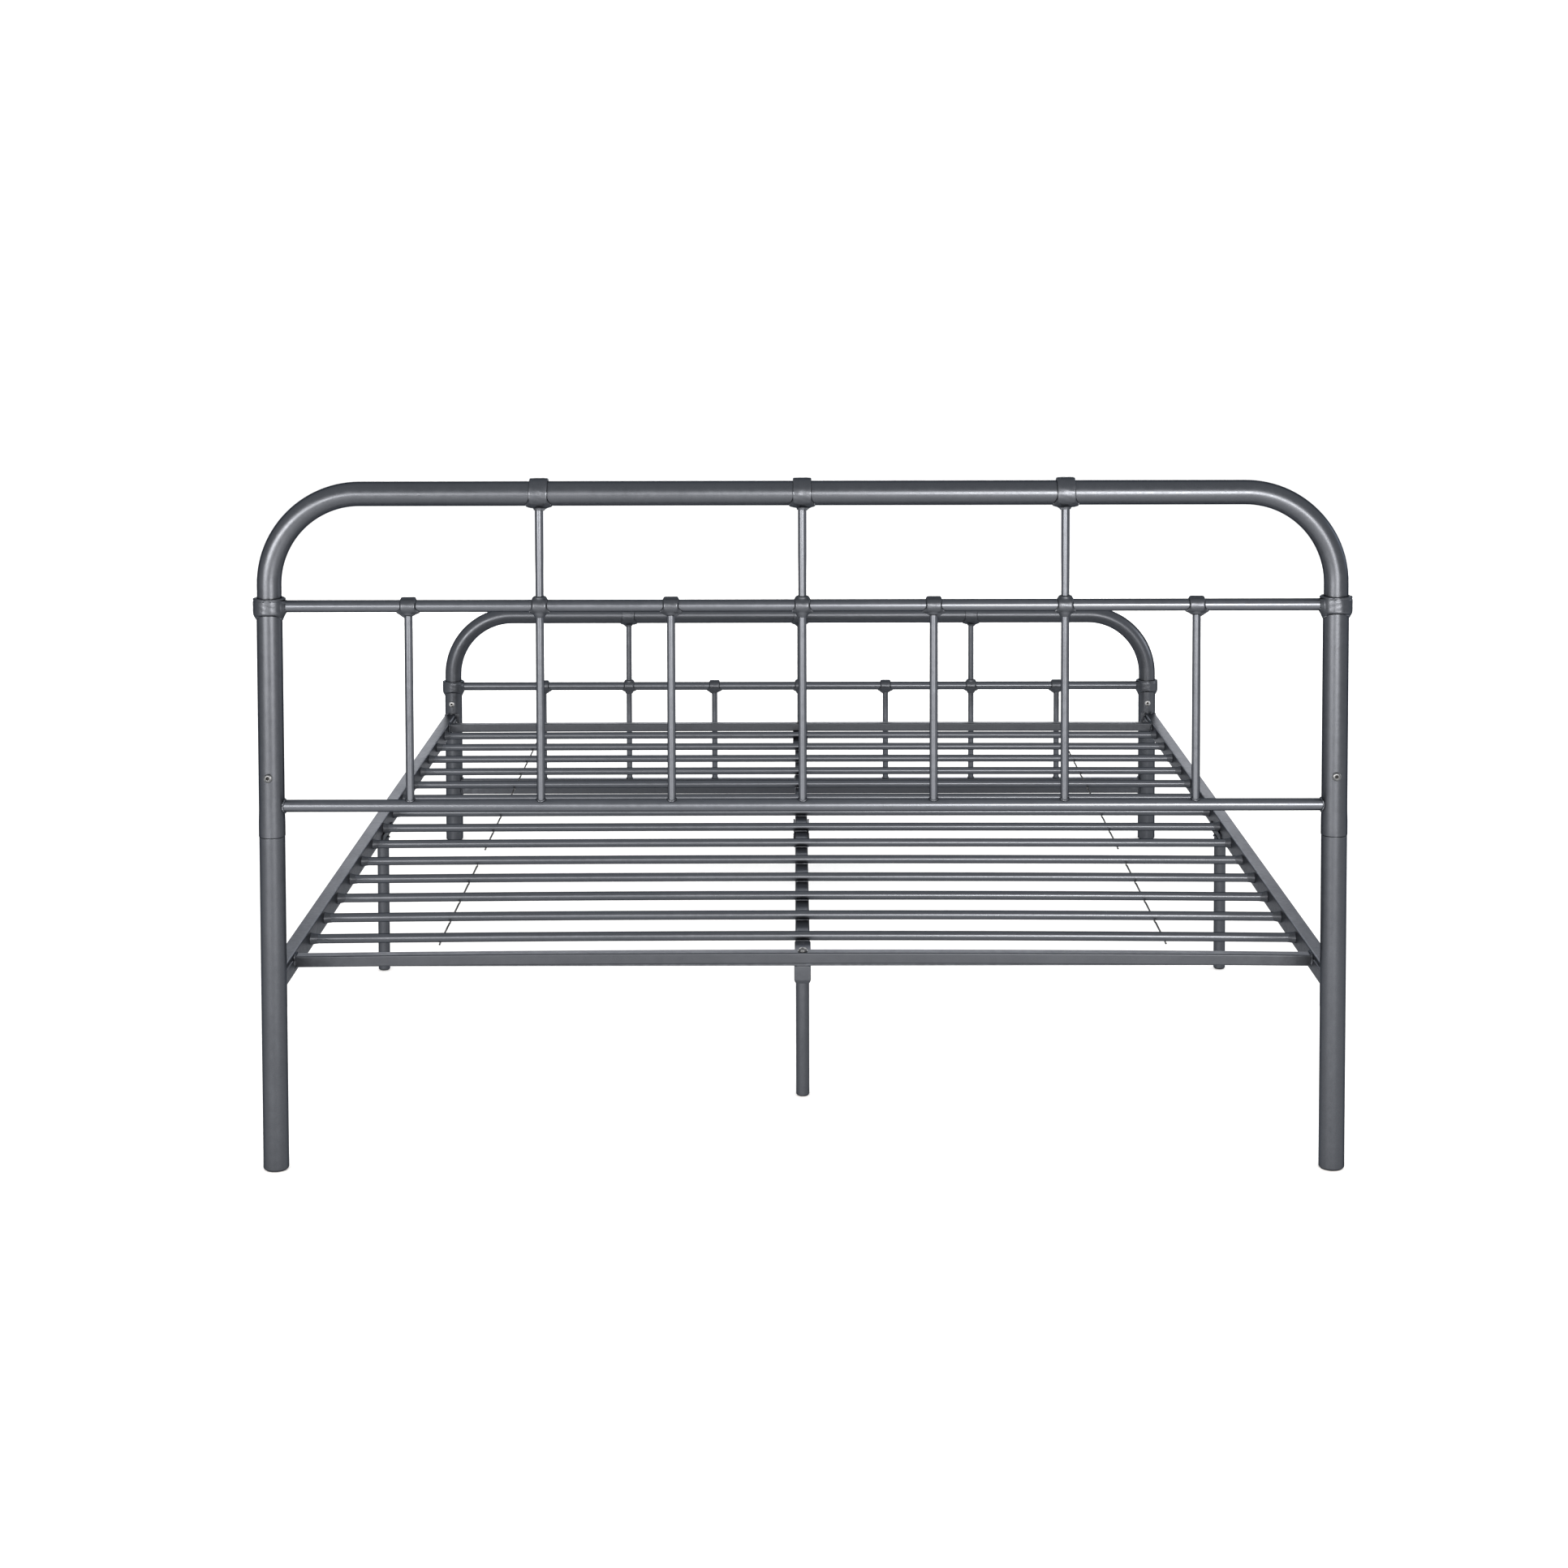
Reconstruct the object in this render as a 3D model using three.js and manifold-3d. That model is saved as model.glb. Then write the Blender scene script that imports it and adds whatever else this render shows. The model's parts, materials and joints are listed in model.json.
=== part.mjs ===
// Double (full-size) metal bed frame: arched tubular headboard and footboard
// with cast joints and round spindles, a two-piece rectangular side rail on
// each side, two crossbars, fourteen round slats held in spacing by tie
// wires, a two-piece centre beam on its own legs, and two mid-length legs.
// Units are millimetres, +Z is up, +Y runs from the headboard to the
// footboard, the origin is on the floor under the middle of the frame.

import * as THREE from 'three';
import { mergeVertices } from 'three/addons/utils/BufferGeometryUtils.js';
import Module from 'manifold-3d';

const wasm = await Module();
wasm.setup();

// ------------------------------------------------------------------ sizes
const POST_X = 690;            // post centre line, each side of the middle
const PANEL_Y = 972.5;         // head and foot panel plane, each end
const GAP = 0.3;               // clearance between touching pieces

const ARCH_R = 15.9;           // arch tube, 31.8 mm (1 1/4 in)
const ARCH_BORE_R = 14.6;
const BEND_R = 118;            // centre-line radius of the arch corners
const POST_R = 16.7;           // post and leg tube, 33.4 mm
const POST_BORE_R = 15.2;
const SPIGOT_R = 14.9;         // reduced ends that slide into a post
const SPIGOT_BORE_R = 13.4;
const COLLAR_R = 21.2;          // cast collar round the top of a post
const COLLAR_UP = 11.9;        // collar rim above the mid rail's axis
const COLLAR_DOWN = 19.2;      // collar foot below the mid rail's axis

const HEAD_TOP_Z = 886.6;      // axis of the headboard's top tube
const HEAD_MID_Z = 740.7;      // axis of its mid rail
const HEAD_LOW_Z = 479.6;      // axis of its lower rail
const HEAD_SEAM_Z = 440;       // joint between upper post and leg
const HEAD_BOLT_Z = 519;
const FOOT_TOP_Z = 449.6;
const FOOT_MID_Z = 307.8;
const FOOT_BAND_Z = 107.4;     // middle of the footboard's flat lower band
const FOOT_BOLT_Z = 274.6;

const RAIL_R = 8;              // 16 mm mid and lower rails of the panels
const RAIL_BORE_R = 6.7;
const SPINDLE_R = 5.4;         // 10.8 mm round bar spindles
const SPINDLE_PITCH = 170;     // seven spindles, the middle one at X = 0
const BAND_H = 30;             // footboard band, 30 x 15 mm
const BAND_D = 15;

const SIDE_IN = 684.5;         // side rail inner face
const SIDE_W = 20;             // side rail 20 x 30 mm
const SIDE_H = 30;
const SIDE_TOP = 255;
const WALL = 1.3;
const SPLICE_Y = -45;          // where the two halves of a rail meet
const CROSS_H = 15;            // crossbar 20 deep, 15 high
const CROSS_D = 20;
const CROSS_HEAD_Y = -850;
const CROSS_FOOT_Y = 855;

const SLAT_N = 14;
const SLAT_R = 6.5;            // 13 mm slats
const SLAT_BORE_R = 5.4;
const SLAT_Z = 243.5;
const SLAT_Y0 = -724;
const SLAT_PITCH = 116.2;
const SLAT_END = 694.5;        // slat ends sit inside the side rails
// slats and crossbars bow up a little: their ends lie this much lower
const SLAT_SAG = [3.6, 3.4, 3.2, 2.6, 2.2, 1.6, 1.2, 1, 1, 1, 1, 1, 1, 1];
const CROSS_HEAD_SAG = 4;
const CROSS_FOOT_SAG = 1;
const SAG_X = 685;

const BEAM_W = 20;             // centre beam 20 x 20 mm
const BEAM_TOP = 236.4;
const BEAM_BOT = 216.4;
const LEG_Y = 665;             // centre legs, each side of mid-length
const LEG_R = 9.4;
const MID_LEG_Y = 3;
const MID_LEG_R = 9.5;
const WIRE_X = 505;            // tie wires, each side of the middle
const WIRE_R = 1.1;

// -------------------------------------------------------------- materials
const M = (hex, rough, metal) => new THREE.MeshStandardMaterial({ color: hex, roughness: rough, metalness: metal });
const COAT = M(0x55585c, 0.42, 0.75);      // gunmetal powder coat on tube
const CAST = M(0x4d5054, 0.45, 0.75);      // the same coat on the castings
const RAILC = M(0x5d6064, 0.5, 0.7);       // slightly paler coat on the rails
const SLATC = M(0x4b4e53, 0.4, 0.75);
const WIREC = M(0x222426, 0.5, 0.6);
const ZINC = M(0x74787d, 0.35, 1.0);

// ---------------------------------------------------------------- helpers
function bare(geometry) {
  const g = geometry.index ? geometry.clone() : geometry.clone();
  for (const name of Object.keys(g.attributes)) if (name !== 'position') g.deleteAttribute(name);
  const m = mergeVertices(g, 1e-4);
  const src = m.index.array, out = [];
  for (let i = 0; i < src.length; i += 3) {
    const [a, b, c] = [src[i], src[i + 1], src[i + 2]];
    if (a !== b && b !== c && a !== c) out.push(a, b, c);
  }
  const p = m.attributes.position.array;
  let vol = 0;
  for (let i = 0; i < out.length; i += 3) {
    const [a, b, c] = [out[i] * 3, out[i + 1] * 3, out[i + 2] * 3];
    vol += p[a] * (p[b + 1] * p[c + 2] - p[b + 2] * p[c + 1])
      - p[a + 1] * (p[b] * p[c + 2] - p[b + 2] * p[c])
      + p[a + 2] * (p[b] * p[c + 1] - p[b + 1] * p[c]);
  }
  if (vol < 0) for (let i = 0; i < out.length; i += 3) [out[i + 1], out[i + 2]] = [out[i + 2], out[i + 1]];
  return { positions: new Float32Array(p), triangles: new Uint32Array(out) };
}

function solid(geometry) {
  const { positions, triangles } = bare(geometry);
  return new wasm.Manifold(new wasm.Mesh({ numProp: 3, vertProperties: positions, triVerts: triangles }));
}

function finish(manifold) {
  const mesh = manifold.getMesh();
  const g = new THREE.BufferGeometry();
  const n = mesh.numProp, count = mesh.vertProperties.length / n;
  const p = new Float32Array(count * 3);
  for (let i = 0; i < count; i++) for (let k = 0; k < 3; k++) p[3 * i + k] = mesh.vertProperties[n * i + k];
  g.setAttribute('position', new THREE.BufferAttribute(p, 3));
  g.setIndex(new THREE.BufferAttribute(new Uint32Array(mesh.triVerts), 1));
  g.computeVertexNormals();
  return g;
}

const join = (...parts) => parts.reduce((a, b) => a.add(b));
const cut = (body, ...tools) => tools.reduce((a, b) => a.subtract(b), body);

// A turned solid about +Z; profile is [radius, height] pairs.
function turnedZ(profile, sides, x = 0, y = 0) {
  const pts = profile.map(([r, z]) => new THREE.Vector2(r, z));
  const g = new THREE.LatheGeometry(pts, sides);
  g.rotateX(Math.PI / 2);
  g.translate(x, y, 0);
  return solid(g);
}

// The same about +X; profile is [radius, x] pairs.
function turnedX(profile, sides, y, z) {
  const pts = profile.map(([r, x]) => new THREE.Vector2(r, x));
  const g = new THREE.LatheGeometry(pts, sides);
  g.rotateZ(-Math.PI / 2);
  g.translate(0, y, z);
  return solid(g);
}

// The same about +Y; profile is [radius, y] pairs.
function turnedY(profile, sides, x, z) {
  const pts = profile.map(([r, y]) => new THREE.Vector2(r, y));
  const g = new THREE.LatheGeometry(pts, sides);
  g.translate(x, 0, z);
  return solid(g);
}

const rod = (r, a, b) => [[0, a], [r, a], [r, b], [0, b]];
const pipe = (ro, ri, a, b) => [[ri, a], [ro, a], [ro, b], [ri, b], [ri, a]];
const longPipe = (ro, ri, a, b, cuts) => {
  const at = (i) => a + ((b - a) * i) / cuts;
  const out = [];
  for (let i = 0; i <= cuts; i++) out.push([ro, at(i)]);
  for (let i = cuts; i >= 0; i--) out.push([ri, at(i)]);
  return [...out, [ro, a]];
};

function block(x0, x1, y0, y1, z0, z1, cuts = 1) {
  const g = new THREE.BoxGeometry(x1 - x0, y1 - y0, z1 - z0, cuts, 1, 1);
  g.translate((x0 + x1) / 2, (y0 + y1) / 2, (z0 + z1) / 2);
  return solid(g);
}

// Bows a body that runs across the frame: its ends go down by sag.
const drop = (sag, x) => sag * (x / SAG_X) * (x / SAG_X);
const bowed = (body, sag) => body.warp((v) => { v[2] -= drop(sag, v[0]); });

// A plate in a YZ plane with rounded corners on its free edge.
function plateYZ(outline, x0, x1) {
  const shape = new THREE.Shape(outline.map(([y, z]) => new THREE.Vector2(y, z)));
  const g = new THREE.ExtrudeGeometry(shape, { depth: x1 - x0, bevelEnabled: false, steps: 1 });
  // shape x -> Y, shape y -> Z, depth -> X
  g.applyMatrix4(new THREE.Matrix4().makeBasis(
    new THREE.Vector3(0, 1, 0), new THREE.Vector3(0, 0, 1), new THREE.Vector3(1, 0, 0)));
  g.translate(x0, 0, 0);
  return solid(g);
}

// A path given by stations, each a point and a tangent, so that a sweep has
// exactly one ring at each of them.
class Stations extends THREE.Curve {
  constructor(list) { super(); this.list = list; }
  at(u) { return this.list[Math.min(this.list.length - 1, Math.round(u * (this.list.length - 1)))]; }
  getPoint(u, target = new THREE.Vector3()) { return target.copy(this.at(u).p); }
  getPointAt(u, target = new THREE.Vector3()) { return target.copy(this.at(u).p); }
  getTangent(u, target = new THREE.Vector3()) { return target.copy(this.at(u).t); }
  getTangentAt(u, target = new THREE.Vector3()) { return target.copy(this.at(u).t); }
}

function sweep(list, r, sides) {
  const pts = [];
  for (let i = 0; i < sides; i++) {
    const a = (i / sides) * 2 * Math.PI;
    pts.push(new THREE.Vector2(r * Math.cos(a), r * Math.sin(a)));
  }
  const g = new THREE.ExtrudeGeometry(new THREE.Shape(pts), {
    steps: list.length - 1, bevelEnabled: false, extrudePath: new Stations(list),
  });
  return solid(g);
}

function archStations(y, topZ, startZ, extend = 0) {
  const list = [];
  const add = (x, z, tx, tz) => list.push({ p: new THREE.Vector3(x, y, z), t: new THREE.Vector3(tx, 0, tz).normalize() });
  add(-POST_X, startZ - extend, 0, 1);
  const n = 5, cz = topZ - BEND_R, cx = POST_X - BEND_R;
  for (let i = 0; i <= n; i++) {
    const a = (i / n) * Math.PI / 2;
    add(-cx - BEND_R * Math.cos(a), cz + BEND_R * Math.sin(a), Math.sin(a), Math.cos(a));
  }
  for (let i = 0; i <= n; i++) {
    const a = (1 - i / n) * Math.PI / 2;
    add(cx + BEND_R * Math.cos(a), cz + BEND_R * Math.sin(a), Math.sin(a), -Math.cos(a));
  }
  add(POST_X, startZ - extend, 0, -1);
  return list;
}

const group = new THREE.Group();
function piece(name, manifold, material) {
  const mesh = new THREE.Mesh(finish(manifold), material);
  mesh.name = name;
  group.add(mesh);
}

const slatY = (i) => SLAT_Y0 + SLAT_PITCH * i;

// ------------------------------------------------- head and foot panels
function arch(y, topZ, midZ, spigotEnd, boltZ, boltSide) {
  const shoulder = midZ + 0.9;
  const full = shoulder + 9.4;
  let body = sweep(archStations(y, topZ, shoulder), ARCH_R, 12);
  body = cut(body, sweep(archStations(y, topZ, full), ARCH_BORE_R, 6));
  for (const s of [-1, 1]) {
    const x = s * POST_X;
    body = cut(body, turnedZ(rod(SPIGOT_BORE_R, shoulder - 1, full + 0.5), 8, x, y));
    body = join(body, turnedZ(pipe(SPIGOT_R, SPIGOT_BORE_R, spigotEnd, shoulder + 2), 12, x, y));
    if (boltZ !== null) body = cut(body, boltHole(x, y, boltZ, boltSide));
  }
  return body;
}

// A hole through the near wall only of an upright tube, on side -Y or +Y.
function boltHole(x, y, z, side) {
  const a = y + side * 24, b = y + side * 6;
  return turnedY(rod(3.4, Math.min(a, b), Math.max(a, b)), 6, x, z);
}

function collarProfile(midZ) {
  return [
    [POST_R, midZ - COLLAR_DOWN],
    [COLLAR_R, midZ - 9.7],
    [COLLAR_R, midZ + COLLAR_UP - 2.0],
    [COLLAR_R - 1.5, midZ + COLLAR_UP],
    [ARCH_R + GAP, midZ + COLLAR_UP],
    [ARCH_R + GAP, midZ + 0.3],
    [POST_BORE_R, midZ + 0.3],
  ];
}

function dressCollar(body, side, y, midZ) {
  const x = (o) => side * (POST_X - o);
  const prof = (list) => {
    const p = list.map(([r, o]) => [r, x(o)]);
    return p;
  };
  const neck = turnedX(prof([[0, 17.4], [13.6, 17.4], [9.3, 22.2], [0, 22.2]]), 8, y, midZ);
  const socket = turnedX(prof([[0, POST_R + 0.1], [RAIL_R + GAP, POST_R + 0.1], [RAIL_R + GAP, 26], [0, 26]]), 8, y, midZ);
  return cut(join(body, neck), socket);
}

function knuckle(x, y, z, up) {
  const ring = turnedX([[0, x - 12.2], [9.0, x - 12.2], [11.6, x - 7.6], [11.6, x + 7.6], [9.0, x + 12.2], [0, x + 12.2]], 8, y, z);
  const down = turnedZ([[0, z - 15.5], [6.4, z - 15.5], [8.6, z - 9.5], [8.6, z], [0, z]], 8, x, y);
  let k = join(ring, down);
  if (up) k = join(k, turnedZ([[0, z], [8.6, z], [8.6, z + 9.5], [6.4, z + 15.5], [0, z + 15.5]], 8, x, y));
  return k;
}

function spindle(x, y, midZ, topZ, bottomZ, bottomCut, long) {
  let body = turnedZ(rod(SPINDLE_R, bottomZ, midZ), 8, x, y);
  body = join(body, knuckle(x, y, midZ, long));
  if (long) {
    body = join(body, turnedZ(rod(SPINDLE_R, midZ, topZ - 12), 8, x, y));
    const cast = turnedX([[0, x - 14], [17.2, x - 14], [20.1, x - 11.8], [20.1, x + 11.8], [17.2, x + 14], [0, x + 14]], 8, y, topZ);
    const neck = turnedZ([[0, topZ - 25], [6.2, topZ - 25], [9.5, topZ - 18], [9.5, topZ - 12], [0, topZ - 12]], 8, x, y);
    body = join(body, cast, neck);
  }
  // the holes for the mid rail and the top tube
  body = cut(body, turnedX(rod(RAIL_R + GAP, x - 20, x + 20), 8, y, midZ));
  if (long) body = cut(body, turnedX(rod(ARCH_R + GAP, x - 24, x + 24), 12, y, topZ));
  if (bottomCut) body = cut(body, bottomCut);
  return body;
}

function bolt(x, y, z, side) {
  // button head against the tube wall, shank through the wall and spigot
  const face = y + side * (POST_R + GAP);
  const o = (d) => face + side * d;
  let p = [[0, -12], [2.9, -12], [2.9, 0], [5.8, 0], [5.8, 1.4], [4.4, 3.0], [2.2, 3.15], [2.2, 1.2], [0, 1.2]];
  return turnedY(p.map(([r, d]) => [r, o(d)]), 8, x, z);
}

// headboard -------------------------------------------------------------
{
  const y = -PANEL_Y;
  piece('head_arch_tube', arch(y, HEAD_TOP_Z, HEAD_MID_Z, HEAD_MID_Z - 48, null, 0), COAT);
  for (const [tag, s] of [['left', -1], ['right', 1]]) {
    const x = s * POST_X;
    const bottom = HEAD_SEAM_Z + GAP;
    let post = turnedZ([
      [POST_BORE_R, bottom], [POST_R + 0.45, bottom], [POST_R + 0.45, bottom + 20], [POST_R, bottom + 30],
      ...collarProfile(HEAD_MID_Z), [POST_BORE_R, bottom]], 12, x, y);
    post = dressCollar(post, s, y, HEAD_MID_Z);
    post = cut(post, boltHole(x, y, HEAD_BOLT_Z, -1));
    piece(`head_post_${tag}`, post, COAT);
    let leg = turnedZ([
      [0, 0], [14.7, 0], [POST_R, 2.2], [POST_R, HEAD_SEAM_Z - GAP], [SPIGOT_R, HEAD_SEAM_Z - GAP], [SPIGOT_R, 546],
      [SPIGOT_BORE_R, 546], [SPIGOT_BORE_R, 424], [POST_BORE_R, 420], [POST_BORE_R, 3], [0, 3]], 12, x, y);
    leg = cut(leg, boltHole(x, y, HEAD_BOLT_Z, -1));
    piece(`head_leg_${tag}`, leg, COAT);
    piece(`head_bolt_${tag}`, bolt(x, y, HEAD_BOLT_Z, -1), ZINC);
  }
  const end = POST_X - POST_R - 0.4;
  piece('head_mid_rail', turnedX(pipe(RAIL_R, RAIL_BORE_R, -end, end), 8, y, HEAD_MID_Z), COAT);
  let low = turnedX(pipe(RAIL_R, RAIL_BORE_R, -POST_X + 6, POST_X - 6), 8, y, HEAD_LOW_Z);
  for (const s of [-1, 1]) low = cut(low, turnedZ(rod(POST_R + GAP, HEAD_LOW_Z - 20, HEAD_LOW_Z + 20), 12, s * POST_X, y));
  piece('head_lower_rail', low, COAT);
  for (let i = -3; i <= 3; i++) {
    const x = i * SPINDLE_PITCH, long = i % 2 === 0;
    const cope = turnedX(rod(RAIL_R + GAP, x - 12, x + 12), 8, y, HEAD_LOW_Z);
    const b = turnedZ(rod(9, HEAD_LOW_Z - 14, HEAD_LOW_Z), 4, x, y);
    const sp = spindle(x, y, HEAD_MID_Z, HEAD_TOP_Z, HEAD_LOW_Z, join(cope, b), long);
    piece(`head_spindle_${i + 4}`, sp, COAT);
  }
}

// footboard -------------------------------------------------------------
{
  const y = PANEL_Y;
  piece('foot_arch_tube', arch(y, FOOT_TOP_Z, FOOT_MID_Z, FOOT_BOLT_Z - 18, FOOT_BOLT_Z, -1), COAT);
  for (const [tag, s] of [['left', -1], ['right', 1]]) {
    const x = s * POST_X;
    let post = turnedZ([
      [0, 0], [14.7, 0], [POST_R, 2.2], ...collarProfile(FOOT_MID_Z), [POST_BORE_R, 3], [0, 3]], 12, x, y);
    post = dressCollar(post, s, y, FOOT_MID_Z);
    post = cut(post, boltHole(x, y, FOOT_BOLT_Z, -1));
    piece(`foot_post_${tag}`, post, COAT);
    piece(`foot_bolt_${tag}`, bolt(x, y, FOOT_BOLT_Z, -1), ZINC);
  }
  const end = POST_X - POST_R - 0.4;
  piece('foot_mid_rail', turnedX(pipe(RAIL_R, RAIL_BORE_R, -end, end), 8, y, FOOT_MID_Z), COAT);
  const z0 = FOOT_BAND_Z - BAND_H / 2, z1 = FOOT_BAND_Z + BAND_H / 2;
  let band = block(-POST_X + 6, POST_X - 6, y - BAND_D / 2, y + BAND_D / 2, z0, z1);
  band = cut(band, block(-POST_X, POST_X, y - BAND_D / 2 + WALL, y + BAND_D / 2 - WALL, z0 + WALL, z1 - WALL));
  for (const s of [-1, 1]) band = cut(band, turnedZ(rod(POST_R + GAP, z0 - 5, z1 + 5), 12, s * POST_X, y));
  piece('foot_lower_band', band, RAILC);
  for (let i = -3; i <= 3; i++) {
    const x = i * SPINDLE_PITCH, long = i % 2 === 0;
    const sp = spindle(x, y, FOOT_MID_Z, FOOT_TOP_Z, z1 + GAP, null, long);
    piece(`foot_spindle_${i + 4}`, sp, COAT);
  }
}

// side rails ------------------------------------------------------------
function railHalf(side, y0, y1, endBracket, spigot) {
  const X = (a, b) => (side > 0 ? [a, b] : [-b, -a]);
  const [x0, x1] = X(SIDE_IN, SIDE_IN + SIDE_W);
  const z0 = SIDE_TOP - SIDE_H, z1 = SIDE_TOP;
  let body = block(x0, x1, y0, y1, z0, z1);
  const outEnd = endBracket < 0 ? y0 : y1;
  const [bx0, bx1] = X(676.5, 706);
  const plate = outEnd + endBracket * 3.2;
  body = join(body, block(bx0, bx1, Math.min(outEnd, plate), Math.max(outEnd, plate), 206, 258.5));
  // bracket leaf along the rail's inner face
  const [lx0, lx1] = X(SIDE_IN - 3, SIDE_IN + 0.5);
  const yi = outEnd - endBracket * 82;
  const out = endBracket < 0
    ? [[outEnd, 227], [yi - 8, 227], [yi - 2.5, 229.5], [yi, 235], [yi, 242], [yi - 2.5, 247.5], [yi - 8, 250], [outEnd, 250]]
    : [[outEnd, 250], [yi + 8, 250], [yi + 2.5, 247.5], [yi, 242], [yi, 235], [yi + 2.5, 229.5], [yi + 8, 227], [outEnd, 227]];
  body = join(body, plateYZ(out, lx0, lx1));
  if (spigot) {
    const [sx0, sx1] = X(SIDE_IN + WALL + GAP, SIDE_IN + SIDE_W - WALL - GAP);
    body = join(body, block(sx0, sx1, y0 - 60, y0 + 8, z0 + WALL + GAP, z1 - WALL - GAP));
    const [cx0, cx1] = X(SIDE_IN + 2 * WALL + GAP, SIDE_IN + SIDE_W - 2 * WALL - GAP);
    body = cut(body, block(cx0, cx1, y0 - 70, y0 + 9, z0 + 2 * WALL + GAP, z1 - 2 * WALL - GAP));
    const [hx0, hx1] = X(SIDE_IN + WALL, SIDE_IN + SIDE_W - WALL);
    body = cut(body, block(hx0, hx1, y0 + 8, y1 + 20, z0 + WALL, z1 - WALL));
  } else {
    const [hx0, hx1] = X(SIDE_IN + WALL, SIDE_IN + SIDE_W - WALL);
    body = cut(body, block(hx0, hx1, y0 - 20, y1 + 20, z0 + WALL, z1 - WALL));
  }
  for (let i = 0; i < SLAT_N; i++) {
    const y = slatY(i);
    if (y < y0 || y > y1) continue;
    const [sx0, sx1] = X(SIDE_IN - 5, SIDE_IN + WALL + 0.5);
    const g = new THREE.LatheGeometry([[0, sx0], [SLAT_R + GAP, sx0], [SLAT_R + GAP, sx1], [0, sx1]].map(([r, v]) => new THREE.Vector2(r, v)), 8);
    g.rotateZ(-Math.PI / 2);
    g.translate(0, y, SLAT_Z - drop(SLAT_SAG[i], SIDE_IN));
    body = cut(body, solid(g));
  }
  return body;
}
for (const [tag, s] of [['left', -1], ['right', 1]]) {
  const far = PANEL_Y - POST_R - GAP - 3.2;
  piece(`side_rail_${tag}_head_half`, railHalf(s, -far, SPLICE_Y - GAP, -1, false), RAILC);
  piece(`side_rail_${tag}_foot_half`, railHalf(s, SPLICE_Y, far, 1, true), RAILC);
}

// crossbars -------------------------------------------------------------
function crossbar(yc, sag) {
  const z1 = SIDE_TOP, z0 = SIDE_TOP - CROSS_H, e = SIDE_IN - GAP;
  let body = bowed(block(-e, e, yc - CROSS_D / 2, yc + CROSS_D / 2, z0, z1, 8), sag);
  body = cut(body, bowed(block(-e - 5, e + 5, yc - CROSS_D / 2 + WALL, yc + CROSS_D / 2 - WALL, z0 + WALL, z1 - WALL, 8), sag));
  return cut(body, turnedZ(rod(3.4, z0 - 5, z1 + 5), 8, 0, yc));
}
piece('crossbar_head', crossbar(CROSS_HEAD_Y, CROSS_HEAD_SAG), RAILC);
piece('crossbar_foot', crossbar(CROSS_FOOT_Y, CROSS_FOOT_SAG), RAILC);

// slats -----------------------------------------------------------------
for (let i = 0; i < SLAT_N; i++) {
  piece(`slat_${String(i + 1).padStart(2, '0')}`,
    bowed(turnedX(longPipe(SLAT_R, SLAT_BORE_R, -SLAT_END, SLAT_END, 8), 8, slatY(i), SLAT_Z), SLAT_SAG[i]), SLATC);
}

// tie wires -------------------------------------------------------------
// Each wire runs under a row of slats, dipping in a small V at every one.
function tieWire(x, first, last) {
  const pts = [];
  for (let i = first; i <= last; i++) {
    const y = slatY(i);
    const run = SLAT_Z - drop(SLAT_SAG[i], x) - SLAT_R - WIRE_R - 0.45, dip = run - 2.6;
    if (i > first) pts.push([y - 7, run]);
    else pts.push([y - 5, run + 0.2]);
    pts.push([y, dip]);
    if (i < last) pts.push([y + 7, run]);
    else pts.push([y + 5, run + 0.2]);
  }
  const list = pts.map(([y, z], i) => {
    const a = pts[Math.max(0, i - 1)], b = pts[Math.min(pts.length - 1, i + 1)];
    return { p: new THREE.Vector3(x, y, z), t: new THREE.Vector3(0, b[0] - a[0], b[1] - a[1]).normalize() };
  });
  return sweep(list, WIRE_R, 4);
}
for (const [tag, s] of [['left', -1], ['right', 1]]) {
  piece(`tie_wire_${tag}_head`, tieWire(s * WIRE_X, 0, 4), WIREC);
  piece(`tie_wire_${tag}_foot`, tieWire(s * WIRE_X, 5, SLAT_N - 1), WIREC);
}

// centre beam -----------------------------------------------------------
{
  const w = BEAM_W / 2, z0 = BEAM_BOT, z1 = BEAM_TOP;
  const bore = (y0, y1, g = WALL) => block(-w + g, w - g, y0, y1, z0 + g, z1 - g);
  // head half, with the flat tab that runs under the head crossbar
  let a = block(-w, w, -772, SPLICE_Y - GAP, z0, z1);
  a = cut(a, bore(-780, SPLICE_Y + 5));
  a = join(a, block(-11, 11, CROSS_HEAD_Y - 9, -736, z1 - 0.2, z1 + 3));
  a = cut(a, turnedZ(rod(3.4, z1 - 6, z1 + 6), 8, 0, CROSS_HEAD_Y));
  a = cut(a, turnedZ(rod(3.4, z0 - 5, z1 + 5), 8, 0, -LEG_Y));
  piece('centre_beam_head_half', a, RAILC);
  // foot half, with the splice sleeve, its spigot, and the end plate
  let b = block(-w, w, SPLICE_Y, CROSS_FOOT_Y - CROSS_D / 2 - 2, z0, z1);
  b = join(b, block(-13, 13, SPLICE_Y, 66, z0 - 3, z1));
  b = join(b, block(-w + WALL + GAP, w - WALL - GAP, SPLICE_Y - 60, SPLICE_Y + 5, z0 + WALL + GAP, z1 - WALL - GAP));
  b = join(b, block(-14, 14, 690, CROSS_FOOT_Y - CROSS_D / 2 - 2, z1 - 3, z1));
  b = join(b, block(-14, 14, slatY(13) + 11, CROSS_FOOT_Y + 9, z1 - 0.2, z1 + 3));
  b = cut(b, block(-w + 2 * WALL + GAP, w - 2 * WALL - GAP, SPLICE_Y - 70, CROSS_FOOT_Y + 30, z0 + 2 * WALL + GAP, z1 - 2 * WALL - GAP));
  b = cut(b, turnedZ(rod(3.4, z1 - 6, z1 + 6), 8, 0, CROSS_FOOT_Y));
  b = cut(b, turnedZ(rod(3.4, z0 - 5, z1 + 5), 8, 0, LEG_Y));
  piece('centre_beam_foot_half', b, RAILC);
}

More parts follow.
